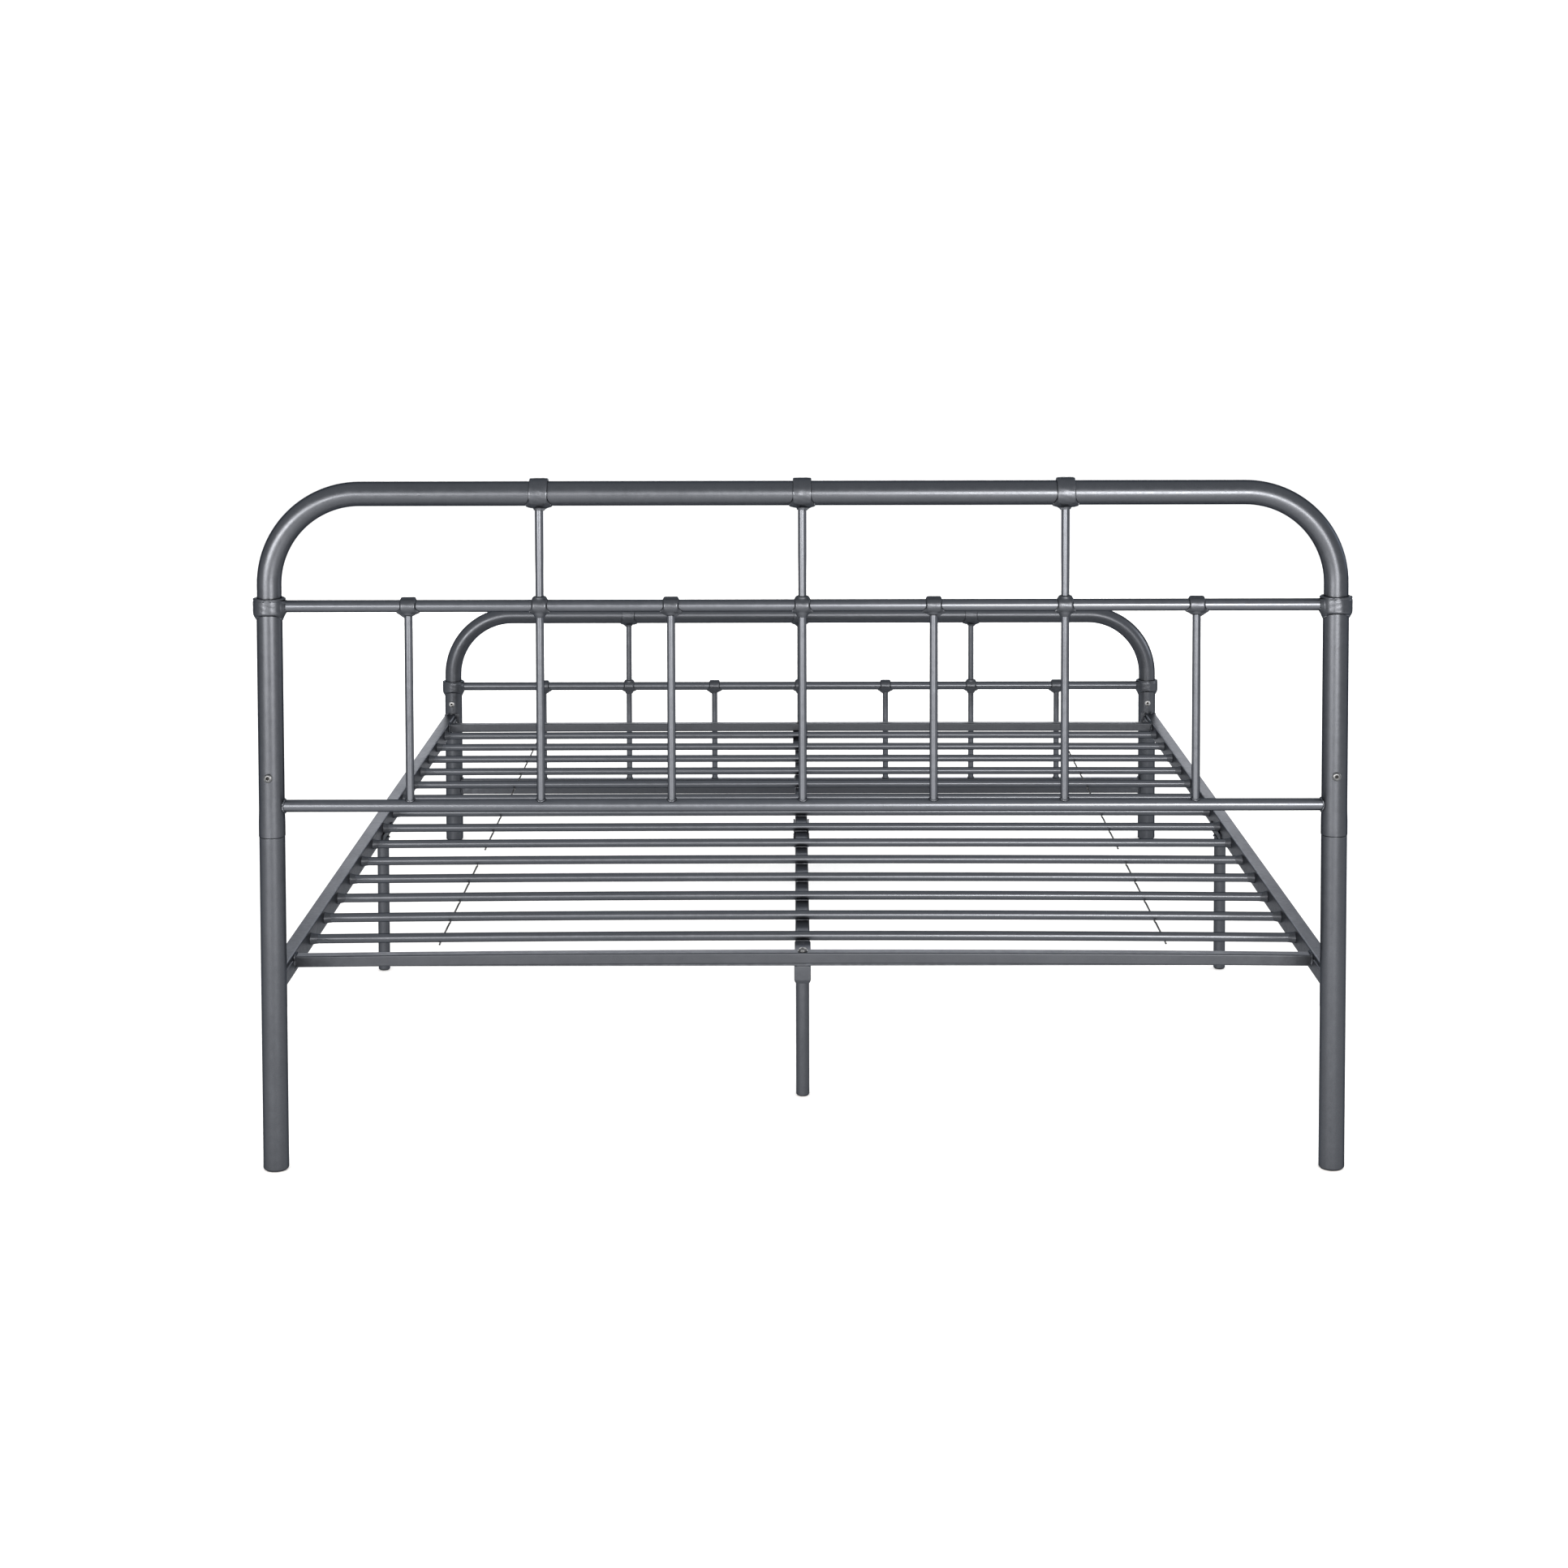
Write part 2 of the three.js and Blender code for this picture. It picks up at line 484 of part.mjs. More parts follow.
// centre legs: tube with a closed foot, a wider sleeve and a stud neck ----
for (const [name, y] of [['centre_leg_head', -LEG_Y], ['centre_leg_foot', LEG_Y]]) {
  // four-sided sleeve, 23.4 mm across the flats
  const side = 11.7 * Math.SQRT2, low = 9.6 * Math.SQRT2;
  const g = new THREE.LatheGeometry([[0, 163], [low, 163], [side, 167], [side, 186.2], [side - 1.7, 187.5], [0, 187.5]]
    .map(([r, z]) => new THREE.Vector2(r, z)), 4);
  g.rotateX(Math.PI / 2);
  g.rotateZ(Math.PI / 4);
  g.translate(0, y, 0);
  const tube = turnedZ([[0, 0], [7.4, 0], [LEG_R, 2], [LEG_R, 165], [6, 166], [6, BEAM_BOT - GAP], [0, BEAM_BOT - GAP]], 8, 0, y);
  const bore = turnedZ([[0, 3], [LEG_R - 1.3, 3], [LEG_R - 1.3, 158], [3.2, 160], [3.2, BEAM_BOT + 5], [0, BEAM_BOT + 5]], 8, 0, y);
  piece(name, cut(join(tube, solid(g)), bore), COAT);
}

// mid-length legs under the side rails, each with its saddle bracket ------
for (const [tag, s] of [['left', -1], ['right', 1]]) {
  const X = (a, b) => (s > 0 ? [a, b] : [-b, -a]);
  const zr = SIDE_TOP - SIDE_H;
  const top = zr - GAP - 3;
  let leg = turnedZ([
    [0, 0], [7.5, 0], [MID_LEG_R, 2], [MID_LEG_R, top + 1], [MID_LEG_R - 1.3, top + 1], [MID_LEG_R - 1.3, 3], [0, 3]], 8, s * POST_X, MID_LEG_Y);
  const [x0, x1] = X(681.7, 704.5);
  leg = join(leg, block(x0, x1, MID_LEG_Y - 52, MID_LEG_Y + 58, top, top + 3));
  const [f0, f1] = X(681.7, 684.2);
  const y0 = MID_LEG_Y - 52, y1 = MID_LEG_Y + 58;
  leg = join(leg, plateYZ([[y0, top], [y1 - 9, top], [y1 - 3, top + 1.5], [y1, top + 7], [y1 - 3, 232], [y1 - 9, 234.5], [y0 + 9, 234.5], [y0 + 3, 232], [y0, top + 7]], f0, f1));
  // the tube's bore stays open upwards through the saddle plate
  leg = cut(leg, turnedZ(rod(MID_LEG_R - 1.3, 30, top + 1), 8, s * POST_X, MID_LEG_Y));
  leg = cut(leg, turnedZ(rod(3.4, top - 2, top + 6), 6, s * POST_X, MID_LEG_Y));
  piece(`mid_leg_${tag}`, leg, COAT);
}

export default group;
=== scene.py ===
import json
import math

import bpy
import numpy as np
from mathutils import Matrix, Vector


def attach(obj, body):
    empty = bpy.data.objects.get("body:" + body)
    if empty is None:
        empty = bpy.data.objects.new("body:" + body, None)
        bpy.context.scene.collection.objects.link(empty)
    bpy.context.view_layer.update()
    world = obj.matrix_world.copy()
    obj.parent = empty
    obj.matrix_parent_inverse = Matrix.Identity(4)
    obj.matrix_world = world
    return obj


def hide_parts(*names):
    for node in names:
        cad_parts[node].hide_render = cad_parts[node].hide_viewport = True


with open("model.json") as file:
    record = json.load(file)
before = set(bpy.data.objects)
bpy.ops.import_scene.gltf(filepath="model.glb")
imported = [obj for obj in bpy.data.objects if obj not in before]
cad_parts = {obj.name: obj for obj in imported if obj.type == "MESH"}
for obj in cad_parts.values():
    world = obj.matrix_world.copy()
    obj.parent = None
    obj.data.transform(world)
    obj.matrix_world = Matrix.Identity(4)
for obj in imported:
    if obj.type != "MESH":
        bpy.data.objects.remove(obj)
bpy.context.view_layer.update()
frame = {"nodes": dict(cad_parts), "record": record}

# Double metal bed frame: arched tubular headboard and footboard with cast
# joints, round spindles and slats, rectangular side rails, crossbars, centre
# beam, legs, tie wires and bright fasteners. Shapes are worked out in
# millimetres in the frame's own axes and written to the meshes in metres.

MM = 0.001
TAU = 2 * math.pi

# ------------------------------------------------------------------ sizes
POST_X, PANEL_Y = 690.0, 972.5
ARCH_R, ARCH_BORE = 15.9, 14.6
BEND_R = 118.0
POST_R, POST_BORE = 16.7, 15.2
SPIGOT_R, SPIGOT_BORE = 14.9, 13.4
RAIL_R, RAIL_BORE = 8.0, 6.7
SPINDLE_R = 5.4
PITCH = 170.0
HEAD_TOP, HEAD_MID, HEAD_LOW, HEAD_SEAM, HEAD_BOLT = 886.6, 740.7, 479.6, 440.0, 519.0
FOOT_TOP, FOOT_MID, FOOT_BAND, FOOT_BOLT = 449.6, 307.8, 107.4, 274.6
SIDE_IN, SIDE_W, SIDE_H, SIDE_TOP = 684.5, 20.0, 30.0, 255.0
WALL, SPLICE_Y = 1.3, -45.0
CROSS_H, CROSS_D, CROSS_HEAD_Y, CROSS_FOOT_Y = 15.0, 20.0, -850.0, 855.0
SLAT_R, SLAT_BORE, SLAT_Z, SLAT_Y0, SLAT_PITCH, SLAT_END = 6.5, 5.4, 243.5, -724.0, 116.2, 694.5
BEAM_W, BEAM_TOP, BEAM_BOT = 20.0, 236.4, 216.4
LEG_Y, LEG_R = 665.0, 9.4
MID_LEG_Y, MID_LEG_R = 3.0, 9.5
WIRE_X, WIRE_R = 505.0, 1.1
BOLT_TURN = {-1: math.radians(5), 1: math.radians(-2)}
# slats and crossbars bow up a little: their ends lie this much lower
SLAT_SAG = [3.6, 3.4, 3.2, 2.6, 2.2, 1.6, 1.2, 1, 1, 1, 1, 1, 1, 1]
CROSS_SAG = {"head": 4.0, "foot": 1.0}
SAG_X = 685.0


def drop(sag, x):
    return sag * (x / SAG_X) ** 2


def slat_y(i):
    return SLAT_Y0 + SLAT_PITCH * i


# ------------------------------------------------------------- mesh basket
class Geo:
    """Vertices and faces of one piece, gathered shell by shell."""

    def __init__(self):
        self.v, self.f, self.n = [], [], 0

    def add(self, verts, faces):
        verts = np.asarray(verts, float).reshape(-1, 3)
        self.v.append(verts)
        for block in faces:
            block = np.asarray(block, int)
            if block.size:
                self.f.extend((block + self.n).tolist())
        self.n += len(verts)
        return self

    def bow(self, sag):
        for v in self.v:
            v[:, 2] -= drop(sag, v[:, 0])
        return self

    def merge(self, verts, quads, move=(0, 0, 0), flip=(1, 1, 1)):
        v = verts * np.array(flip, float) + np.array(move, float)
        q = quads if np.prod(flip) > 0 else quads[:, ::-1]
        return self.add(v, [q])


def ring_faces(rings, sides, wrap):
    i = np.arange(rings if wrap else rings - 1)[:, None]
    j = np.arange(sides)[None, :]
    k = (i + 1) % rings
    l = (j + 1) % sides
    a, b, c, d = i * sides + j, i * sides + l, k * sides + l, k * sides + j
    return np.stack([a + 0 * b, b, c, d], -1).reshape(-1, 4)


def volume_sign(verts, quads):
    a, b, c, d = (verts[quads[:, k]] for k in range(4))
    return np.sum(np.einsum("ij,ij->i", a, np.cross(b, c)) + np.einsum("ij,ij->i", a, np.cross(c, d)))


def loft(geo, rings, wrap=True):
    """A skin over equal rings of points. With wrap the last ring meets the
    first (a pipe with a bore); without, the ends are closed by flat caps."""
    rings = np.asarray(rings, float)
    r, s, _ = rings.shape
    verts = rings.reshape(-1, 3)
    quads = ring_faces(r, s, wrap)
    c = verts.mean(0)
    caps = []
    if not wrap:
        caps = [np.arange(s)[::-1], (r - 1) * s + np.arange(s)]
    sign = volume_sign(verts - c, quads)
    if not wrap:
        for cap in caps:
            p = verts[cap] - c
            sign += np.sum(np.einsum("ij,ij->i", np.broadcast_to(p[0], p[1:-1].shape), np.cross(p[1:-1], p[2:])))
    if sign < 0:
        quads = quads[:, ::-1]
        caps = [k[::-1] for k in caps]
    return geo.add(verts, [quads] + [k[None, :] for k in caps])


def arc_corner(a, b, c, r, n):
    """Points that round corner b, between a and c, with radius r."""
    a, b, c = map(np.asarray, (a, b, c))
    u, w = a - b, c - b
    lu, lw = np.linalg.norm(u), np.linalg.norm(w)
    u, w = u / lu, w / lw
    half = math.acos(float(np.clip(u @ w, -1, 1))) / 2
    if r <= 0 or half > math.pi / 2 - 0.02:
        return [b]
    t = min(r / math.tan(half), 0.49 * lu, 0.49 * lw)
    r = t * math.tan(half)
    bis = (u + w) / np.linalg.norm(u + w)
    centre = b + bis * (r / math.sin(half))
    p0, p1 = b + u * t, b + w * t
    d0, d1 = p0 - centre, p1 - centre
    ang = math.acos(float(np.clip(d0 @ d1 / (r * r), -1, 1)))
    out = []
    for i in range(n + 1):
        s = i / n
        out.append(centre + (math.sin((1 - s) * ang) * d0 + math.sin(s * ang) * d1) / math.sin(ang))
    return out


def rounded(points, radii, n=4, closed=True):
    points = [np.array(p, float) for p in points]
    m = len(points)
    radii = [radii] * m if np.isscalar(radii) else radii
    out = []
    for i, p in enumerate(points):
        if not closed and i in (0, m - 1):
            out.append(p)
            continue
        out += arc_corner(points[i - 1], p, points[(i + 1) % m], radii[i], n)
    return np.array(out)


def turned(geo, profile, base, axis, sides=48, wrap=True, phase=0.0):
    """Turns a profile of [radius, height] pairs about an axis through base.
    A closed profile (wrap) is a pipe; an open one is closed by flat caps."""
    profile = np.asarray(profile, float)
    axis = np.asarray(axis, float) / np.linalg.norm(axis)
    ref = np.array([0.0, 0.0, 1.0]) if abs(axis[2]) < 0.9 else np.array([1.0, 0.0, 0.0])
    e1 = np.cross(axis, ref)
    e1 /= np.linalg.norm(e1)
    e2 = np.cross(axis, e1)
    ang = phase + TAU * np.arange(sides) / sides
    dirs = np.cos(ang)[:, None] * e1 + np.sin(ang)[:, None] * e2
    rings = np.asarray(base, float) + profile[:, 1][:, None, None] * axis + profile[:, 0][:, None, None] * dirs[None]
    return loft(geo, rings, wrap)


def pipe_profile(ro, ri, a, b, lip=0.35, cuts=1):
    """Closed section of a pipe between heights a and b with softened lips."""
    pts = [[ri, a], [ro, a], [ro, b], [ri, b]]
    p = rounded(pts, [0, lip, lip, 0], 3)
    if cuts > 1:                          # extra stations along a long wall
        out = []
        for i, q in enumerate(p):
            out.append(q)
            nxt = p[(i + 1) % len(p)]
            if abs(nxt[1] - q[1]) > 0.5 * abs(b - a):
                out += [q + (nxt - q) * k / cuts for k in range(1, cuts)]
        p = np.array(out)
    return p


def bar_profile(r, a, b, lip=0.5):
    return np.array([[r - lip * 1.0, a], [r - lip * 0.3, a + lip * 0.3], [r, a + lip], [r, b - lip],
                     [r - lip * 0.3, b - lip * 0.3], [r - lip, b]])


def swept(geo, centres, tangents, radii, inner=None, sides=48, normal=(0, 1, 0), closed=False):
    """A round section along stations. normal is square to the whole path."""
    centres, tangents = np.asarray(centres, float), np.asarray(tangents, float)
    n = np.asarray(normal, float)
    ang = TAU * np.arange(sides) / sides

    def ring(c, t, r):
        t = t / np.linalg.norm(t)
        b = np.cross(t, n)
        b /= np.linalg.norm(b)
        return c + r * (np.cos(ang)[:, None] * n + np.sin(ang)[:, None] * b)

    rings = [ring(c, t, r) for c, t, r in zip(centres, tangents, radii)]
    if inner is not None:
        rings += [ring(c, t, r) for c, t, r in inner]
        return loft(geo, rings, True)
    return loft(geo, rings, closed)


def bead(geo, path, r, seed, outward, sides=10, ripple=0.16, pitch=2.6):
    """A closed, rippled weld bead along a loop of points; outward is the
    direction, per point, in which its ring starts."""
    rng = np.random.default_rng(seed)
    path = np.asarray(path, float)
    m = len(path)
    nxt, prv = np.roll(path, -1, 0), np.roll(path, 1, 0)
    t = nxt - prv
    t /= np.linalg.norm(t, axis=1)[:, None]
    o = np.asarray(outward, float)
    o = o - np.einsum("ij,ij->i", o, t)[:, None] * t
    o /= np.linalg.norm(o, axis=1)[:, None]
    b = np.cross(t, o)
    step = np.linalg.norm(nxt - path, axis=1)
    s = np.concatenate([[0], np.cumsum(step)[:-1]])
    total = step.sum()
    waves = max(3, round(total / pitch))
    ph = TAU * waves * s / total
    slow = sum(a * np.sin(TAU * k * s / total + p) for k, a, p in zip((2, 3, 5, 7), rng.uniform(0.03, 0.09, 4), rng.uniform(0, TAU, 4)))
    rad = r * (1 + ripple * np.abs(np.sin(ph / 2)) - ripple / 2 + slow)
    ang = TAU * np.arange(sides) / sides
    lump = 1 + 0.10 * np.sin(3 * ang[None, :] + rng.uniform(0, TAU, m)[:, None] * 0.3 + ph[:, None] * 0.37)
    rings = path[:, None, :] + (rad[:, None] * lump)[..., None] * (np.cos(ang)[None, :, None] * o[:, None, :] + np.sin(ang)[None, :, None] * b[:, None, :])
    return loft(geo, rings, True)


def rrect(w, h, r, n=4, inset=0.0):
    """Rounded rectangle about the origin as (a, b) points, 4 (n + 1) of them."""
    w, h, r = w / 2 - inset, h / 2 - inset, max(0.15, r - inset)
    out = []
    for cx, cy, a0 in ((w - r, h - r, 0), (-w + r, h - r, 90), (-w + r, -h + r, 180), (w - r, -h + r, 270)):
        for i in range(n + 1):
            a = math.radians(a0 + 90 * i / n)
            out.append((cx + r * math.cos(a), cy + r * math.sin(a)))
    return np.array(out)


def box_tube(geo, centre, size, length, axis, corner=2.4, wall=WALL, cuts=1, lip=0.3, n=5):
    """A rectangular pipe along axis 'x' or 'y' from length[0] to length[1].
    centre and size are those of its section, (across, up)."""
    w, h = size
    a, b = length
    stations = [(a, lip), (a + lip, 0.0)]
    for k in range(1, cuts):
        stations.append((a + (b - a) * k / cuts, 0.0))
    stations += [(b - lip, 0.0), (b, lip)]
    rings = []
    for pos, ins in stations:
        rings.append((pos, rrect(w, h, corner, n, ins)))
    for pos, ins in ((b, 0), (a, 0)):
        rings.append((pos, rrect(w - 2 * wall, h - 2 * wall, max(0.4, corner - wall), n)))
    out = []
    for pos, sec in rings:
        across, up = sec[:, 0] + centre[0], sec[:, 1] + centre[1]
        p = np.full(len(sec), float(pos))
        out.append(np.stack([across, p, up] if axis == "y" else [p, across, up], 1))
    return loft(geo, out, True)


def plate(geo, outline, lo, hi, axis, edge=0.5):
    """A flat plate: outline in the two other axes, thickness lo to hi, with
    eased edges."""
    o = np.asarray(outline, float)
    nxt, prv = np.roll(o, -1, 0), np.roll(o, 1, 0)
    e1, e0 = nxt - o, o - prv
    e1 /= np.linalg.norm(e1, axis=1)[:, None] + 1e-12
    e0 /= np.linalg.norm(e0, axis=1)[:, None] + 1e-12
    n = np.stack([(e0 + e1)[:, 1], -(e0 + e1)[:, 0]], 1)
    n /= np.linalg.norm(n, axis=1)[:, None] + 1e-12
    area = 0.5 * np.sum(o[:, 0] * nxt[:, 1] - nxt[:, 0] * o[:, 1])
    if area < 0:
        n = -n
    rings = []
    for pos, ins in ((lo, edge), (lo + 0.3 * edge, 0.3 * edge), (lo + edge, 0), (hi - edge, 0), (hi - 0.3 * edge, 0.3 * edge), (hi, edge)):
        q = o - n * ins
        p = np.full(len(q), float(pos))
        cols = {"x": [p, q[:, 0], q[:, 1]], "y": [q[:, 0], p, q[:, 1]], "z": [q[:, 0], q[:, 1], p]}[axis]
        rings.append(np.stack(cols, 1))
    return loft(geo, rings, False)


# ----------------------------------------------- implicit cast-joint bodies
def smin(a, b, k):
    h = np.maximum(k - np.abs(a - b), 0) / k
    return np.minimum(a, b) - h * h * k * 0.25


def smax(a, b, k):
    return -smin(-a, -b, k)


def step(x):
    x = np.clip(x, 0, 1)
    return x * x * (3 - 2 * x)


def slope(u, v, u0, v0, u1, v1):
    """Signed distance to the line from (u0, v0) to (u1, v1) with u1 > u0 and
    v1 < v0: positive on its far side from the origin."""
    du, dv = u1 - u0, v0 - v1
    return ((u - u0) * dv + (v - v0) * du) / np.sqrt(du * du + dv * dv)


def skin(f, lo, hi, h, relax=3):
    """The surface f = 0 as a quad mesh (surface nets drawn on to the true
    surface). f takes arrays of x, y, z in millimetres."""
    lo, hi = np.array(lo, float), np.array(hi, float)
    n = np.ceil((hi - lo) / h).astype(int) + 1
    ax = [lo[i] + h * np.arange(n[i]) for i in range(3)]
    X, Y, Z = np.meshgrid(*ax, indexing="ij")
    V = f(X, Y, Z)
    inside = V < 0
    corners = [(i, j, k) for i in (0, 1) for j in (0, 1) for k in (0, 1)]
    s = [slice(0, -1), slice(1, None)]
    total = sum(inside[s[i], s[j], s[k]].astype(int) for i, j, k in corners)
    cells = np.argwhere((total > 0) & (total < 8))
    index = -np.ones(np.array(V.shape) - 1, int)
    index[tuple(cells.T)] = np.arange(len(cells))
    acc, cnt = np.zeros((len(cells), 3)), np.zeros(len(cells))
    for a in range(len(corners)):
        for b in range(a + 1, len(corners)):
            ca, cb = np.array(corners[a]), np.array(corners[b])
            if np.abs(ca - cb).sum() != 1:
                continue
            va, vb = V[tuple((cells + ca).T)], V[tuple((cells + cb).T)]
            m = (va < 0) != (vb < 0)
            t = np.where(m, va / np.where(m, va - vb, 1), 0)
            acc += np.where(m[:, None], ca + t[:, None] * (cb - ca), 0)
            cnt += m
    P = lo + h * (cells + acc / cnt[:, None])
    quads = []
    for axis in range(3):
        o1, o2 = (axis + 1) % 3, (axis + 2) % 3
        sl0, sl1 = [slice(None)] * 3, [slice(None)] * 3
        sl0[axis], sl1[axis] = slice(0, -1), slice(1, None)
        A, B = inside[tuple(sl0)], inside[tuple(sl1)]
        e = np.argwhere(A != B)
        e = e[(e[:, o1] > 0) & (e[:, o2] > 0) & (e[:, o1] < V.shape[o1] - 1) & (e[:, o2] < V.shape[o2] - 1)]
        d1, d2 = np.zeros(3, int), np.zeros(3, int)
        d1[o1], d2[o2] = 1, 1
        q = np.stack([index[tuple((e - d1 - d2).T)], index[tuple((e - d2).T)], index[tuple(e.T)], index[tuple((e - d1).T)]], 1)
        fl = A[tuple(e.T)]
        q[~fl] = q[~fl][:, ::-1]
        quads.append(q)
    Q = np.concatenate(quads)

    def draw(P, times):
        eps = 0.04
        for _ in range(times):
            x, y, z = P.T
            v = f(x, y, z)
            g = np.stack([f(x + eps, y, z) - f(x - eps, y, z), f(x, y + eps, z) - f(x, y - eps, z), f(x, y, z + eps) - f(x, y, z - eps)], 1) / (2 * eps)
            g2 = np.maximum((g * g).sum(1), 0.05)
            move = -(v / g2)[:, None] * g
            size = np.linalg.norm(move, axis=1)[:, None]
            P = P + move * np.minimum(1, 0.5 * h / np.maximum(size, 1e-9))
        return P

    P = draw(P, 4)
    a = np.concatenate([Q[:, 0], Q[:, 1], Q[:, 2], Q[:, 3]])
    b = np.concatenate([Q[:, 1], Q[:, 2], Q[:, 3], Q[:, 0]])
    for _ in range(relax):
        s1, c1 = np.zeros_like(P), np.zeros(len(P))
        np.add.at(s1, a, P[b])
        np.add.at(s1, b, P[a])
        np.add.at(c1, a, 1)
        np.add.at(c1, b, 1)
        P = draw(0.5 * P + 0.5 * s1 / c1[:, None], 2)
    return P, Q


def uneven(x, y, z, a=0.1):
    """The slight unevenness of a cast skin."""
    return a * (np.sin(0.61 * x + 1.1) * np.sin(0.53 * y + 0.4) + np.sin(0.37 * z + 0.31 * x) * np.sin(0.47 * z - 0.29 * y + 2.0))


def cast_top(side):
    """Saddle that hangs a spindle under the arch tube; axis of the tube on X,
    spindle down -Z. side is where the gusset stands."""
    def f(x, y, z):
        rho = np.sqrt(y * y + z * z) + 1e-9
        ax = np.abs(x)
        t = step((-z / rho - 0.15) / 0.85)
        wo, wi, ro = 11.9 - 1.9 * t, 12.3 + 4.6 * t, 20.0 - 0.8 * t
        d = smax(rho - ro, slope(ax, rho, wo, ro, wi, ARCH_R + 1.3 * t), 1.3)
        d = smax(d, ax - wi - 0.2, 1.6)
        hxy = np.sqrt(x * x + y * y)
        d = smin(d, smax(smax(hxy - 6.9, -z - 21.8, 1.0), z + 10, 1), 1.8)
        n = np.array([6.2, -7.5]) / 9.73
        g = (x * side - 12.6) * n[0] + (z + 16.8) * n[1]
        g = smax(smax(g, np.abs(y) - 4.6, 1.4), -x * side - 1, 1)
        d = smin(d, smax(g, z + 8, 1), 1.4)
        d = d + uneven(x, y, z, 0.09)
        bore = ARCH_R + 0.12 + 1.0 * np.clip((ax - (wi - 1.6)) / 1.6, 0, 1) * (1 - t)
        d = smax(d, bore - rho, 0.3)
        hole = np.maximum(hxy - SPINDLE_R - 0.12, z + 17.6)
        return smax(d, -hole, 0.3)
    return f


def cast_knuckle(long, side):
    """Ring and boss that carry a spindle on a panel's mid rail."""
    def f(x, y, z):
        rho = np.sqrt(y * y + z * z) + 1e-9
        ax = np.abs(x)
        t = step((-z / rho - 0.05) / 0.95)
        wo, wi, ro = (8.9 if not long else 8.5) - 1.6 * t, 11.0 + (3.6 if not long else 2.6) * t, 11.8 - 0.3 * t
        d = smax(rho - ro, slope(ax, rho, wo, ro, wi, RAIL_R + 1.2 * t), 1.0 if not long else 1.7)
        d = smax(d, ax - wi - 0.2, 1.4)
        hxy = np.sqrt(x * x + y * y)
        d = smin(d, smax(smax(hxy - 7.9, -z - 11.9, 2.2), z + 3, 1), 2.4)
        if long:
            d = smin(d, smax(smax(hxy - 6.9 - 0.2 * (z + 15), -z - 15.0, 1.2), z + 6, 1), 1.6)
            d = smin(d, smax(smax(hxy - 8.2, z - 12.6, 2.4), 4 - z, 1), 2.0)
        else:
            n = np.array([6.6, -8.0]) / 10.37
            g = (x * side - 11.4) * n[0] + (z + 10.2) * n[1]
            g = smax(smax(g, np.abs(y) - 4.2, 1.6), -x * side - 1, 1)
            d = smin(d, smax(g, z + 4, 1), 3.4)
            n = np.array([4.0, -6.0]) / 7.21
            g = (-x * side - 11.0) * n[0] + (z + 9.4) * n[1]
            g = smax(smax(g, np.abs(y) - 4.4, 2.0), x * side - 1, 1)
            d = smin(d, smax(g, z + 4, 1), 2.0)
        d = d + uneven(x, y, z, 0.07)
        bore = RAIL_R + 0.1 + 0.6 * np.clip((ax - (wi - 1.3)) / 1.3, 0, 1) * (1 - t)
        d = smax(d, bore + 0.25 - rho, 0.25)
        hole = np.maximum(hxy - SPINDLE_R - 0.12, 9.0 - np.abs(z) if long else z + 9.0)
        return smax(d, -hole, 0.25)
    return f


def cast_collar(x, y, z):
    """Collar at the head of a post, with the boss for the mid rail on +X and
    the arch tube entering from above. The origin is where the axes cross."""
    h = np.sqrt(x * x + y * y) + 1e-9
    w = (np.abs(x) / h) ** 4
    zs, ze = -9.0 - 0.7 * w, -11.6 - 7.4 * w
    dr, dz = 4.3, zs - ze
    low = ((h - 21.1) * dz - (z - zs) * dr) / np.sqrt(dr * dr + dz * dz)
    d = smax(smax(h - 21.1, low, 1.1), z - 11.5, 2.4)
    hr = np.sqrt(y * y + z * z) + 1e-9
    boss = smax(smax((hr - np.minimum(12.6 - (x - 17.5) * 0.8, 12.6)) * 0.79, x - 22.3, 1.4), 14.5 - x, 0.6)
    d = smin(d, boss, 1.8)
    up = (x - 15.9) * 0.807 + (z - 15.0) * 0.590
    up = smax(smax(up, np.abs(y) - 4.6, 1.8), 12 - x, 0.6)
    d = smin(d, smax(up, -z, 1), 1.4)
    dn = (x - 21.3) * 0.882 - (z + 8.2) * 0.471
    dn = smax(smax(dn, np.abs(y) - 4.6, 1.8), 13 - x, 0.6)
    d = smin(d, smax(dn, z, 1), 1.4)
    d = d + uneven(x, y, z, 0.09)
    d = smax(d, 0.85 - np.sqrt((h - 21.3) ** 2 + (z - 8.3) ** 2), 0.3)
    mouth = ARCH_R + 0.15 + 1.8 * np.clip((z - 8.6) / 3.0, 0, 1)
    d = smax(d, -np.maximum(h - mouth, 0.75 - z), 0.3)
    d = smax(d, POST_BORE - h, 0.3)
    d = smax(d, -np.maximum(h - POST_R - 0.08, z + 1.2), 0.3)
    return smax(d, -np.maximum(hr - RAIL_R - 0.1, 17.0 - x), 0.3)


MASTER = {
    "top+": skin(cast_top(1), (-19, -22, -26), (19, 22, 22), 1.0),
    "top-": skin(cast_top(-1), (-19, -22, -26), (19, 22, 22), 1.0),
    "short-": skin(cast_knuckle(False, -1), (-18, -13.5, -22), (18, 13.5, 13.5), 0.8),
    "short+": skin(cast_knuckle(False, 1), (-18, -13.5, -22), (18, 13.5, 13.5), 0.8),
    "long": skin(cast_knuckle(True, 1), (-16, -13.5, -18), (16, 13.5, 15.5), 0.8),
    "collar": skin(cast_collar, (-23, -23, -22), (24.5, 23, 18), 0.95),
}

# ---------------------------------------------------------------- materials


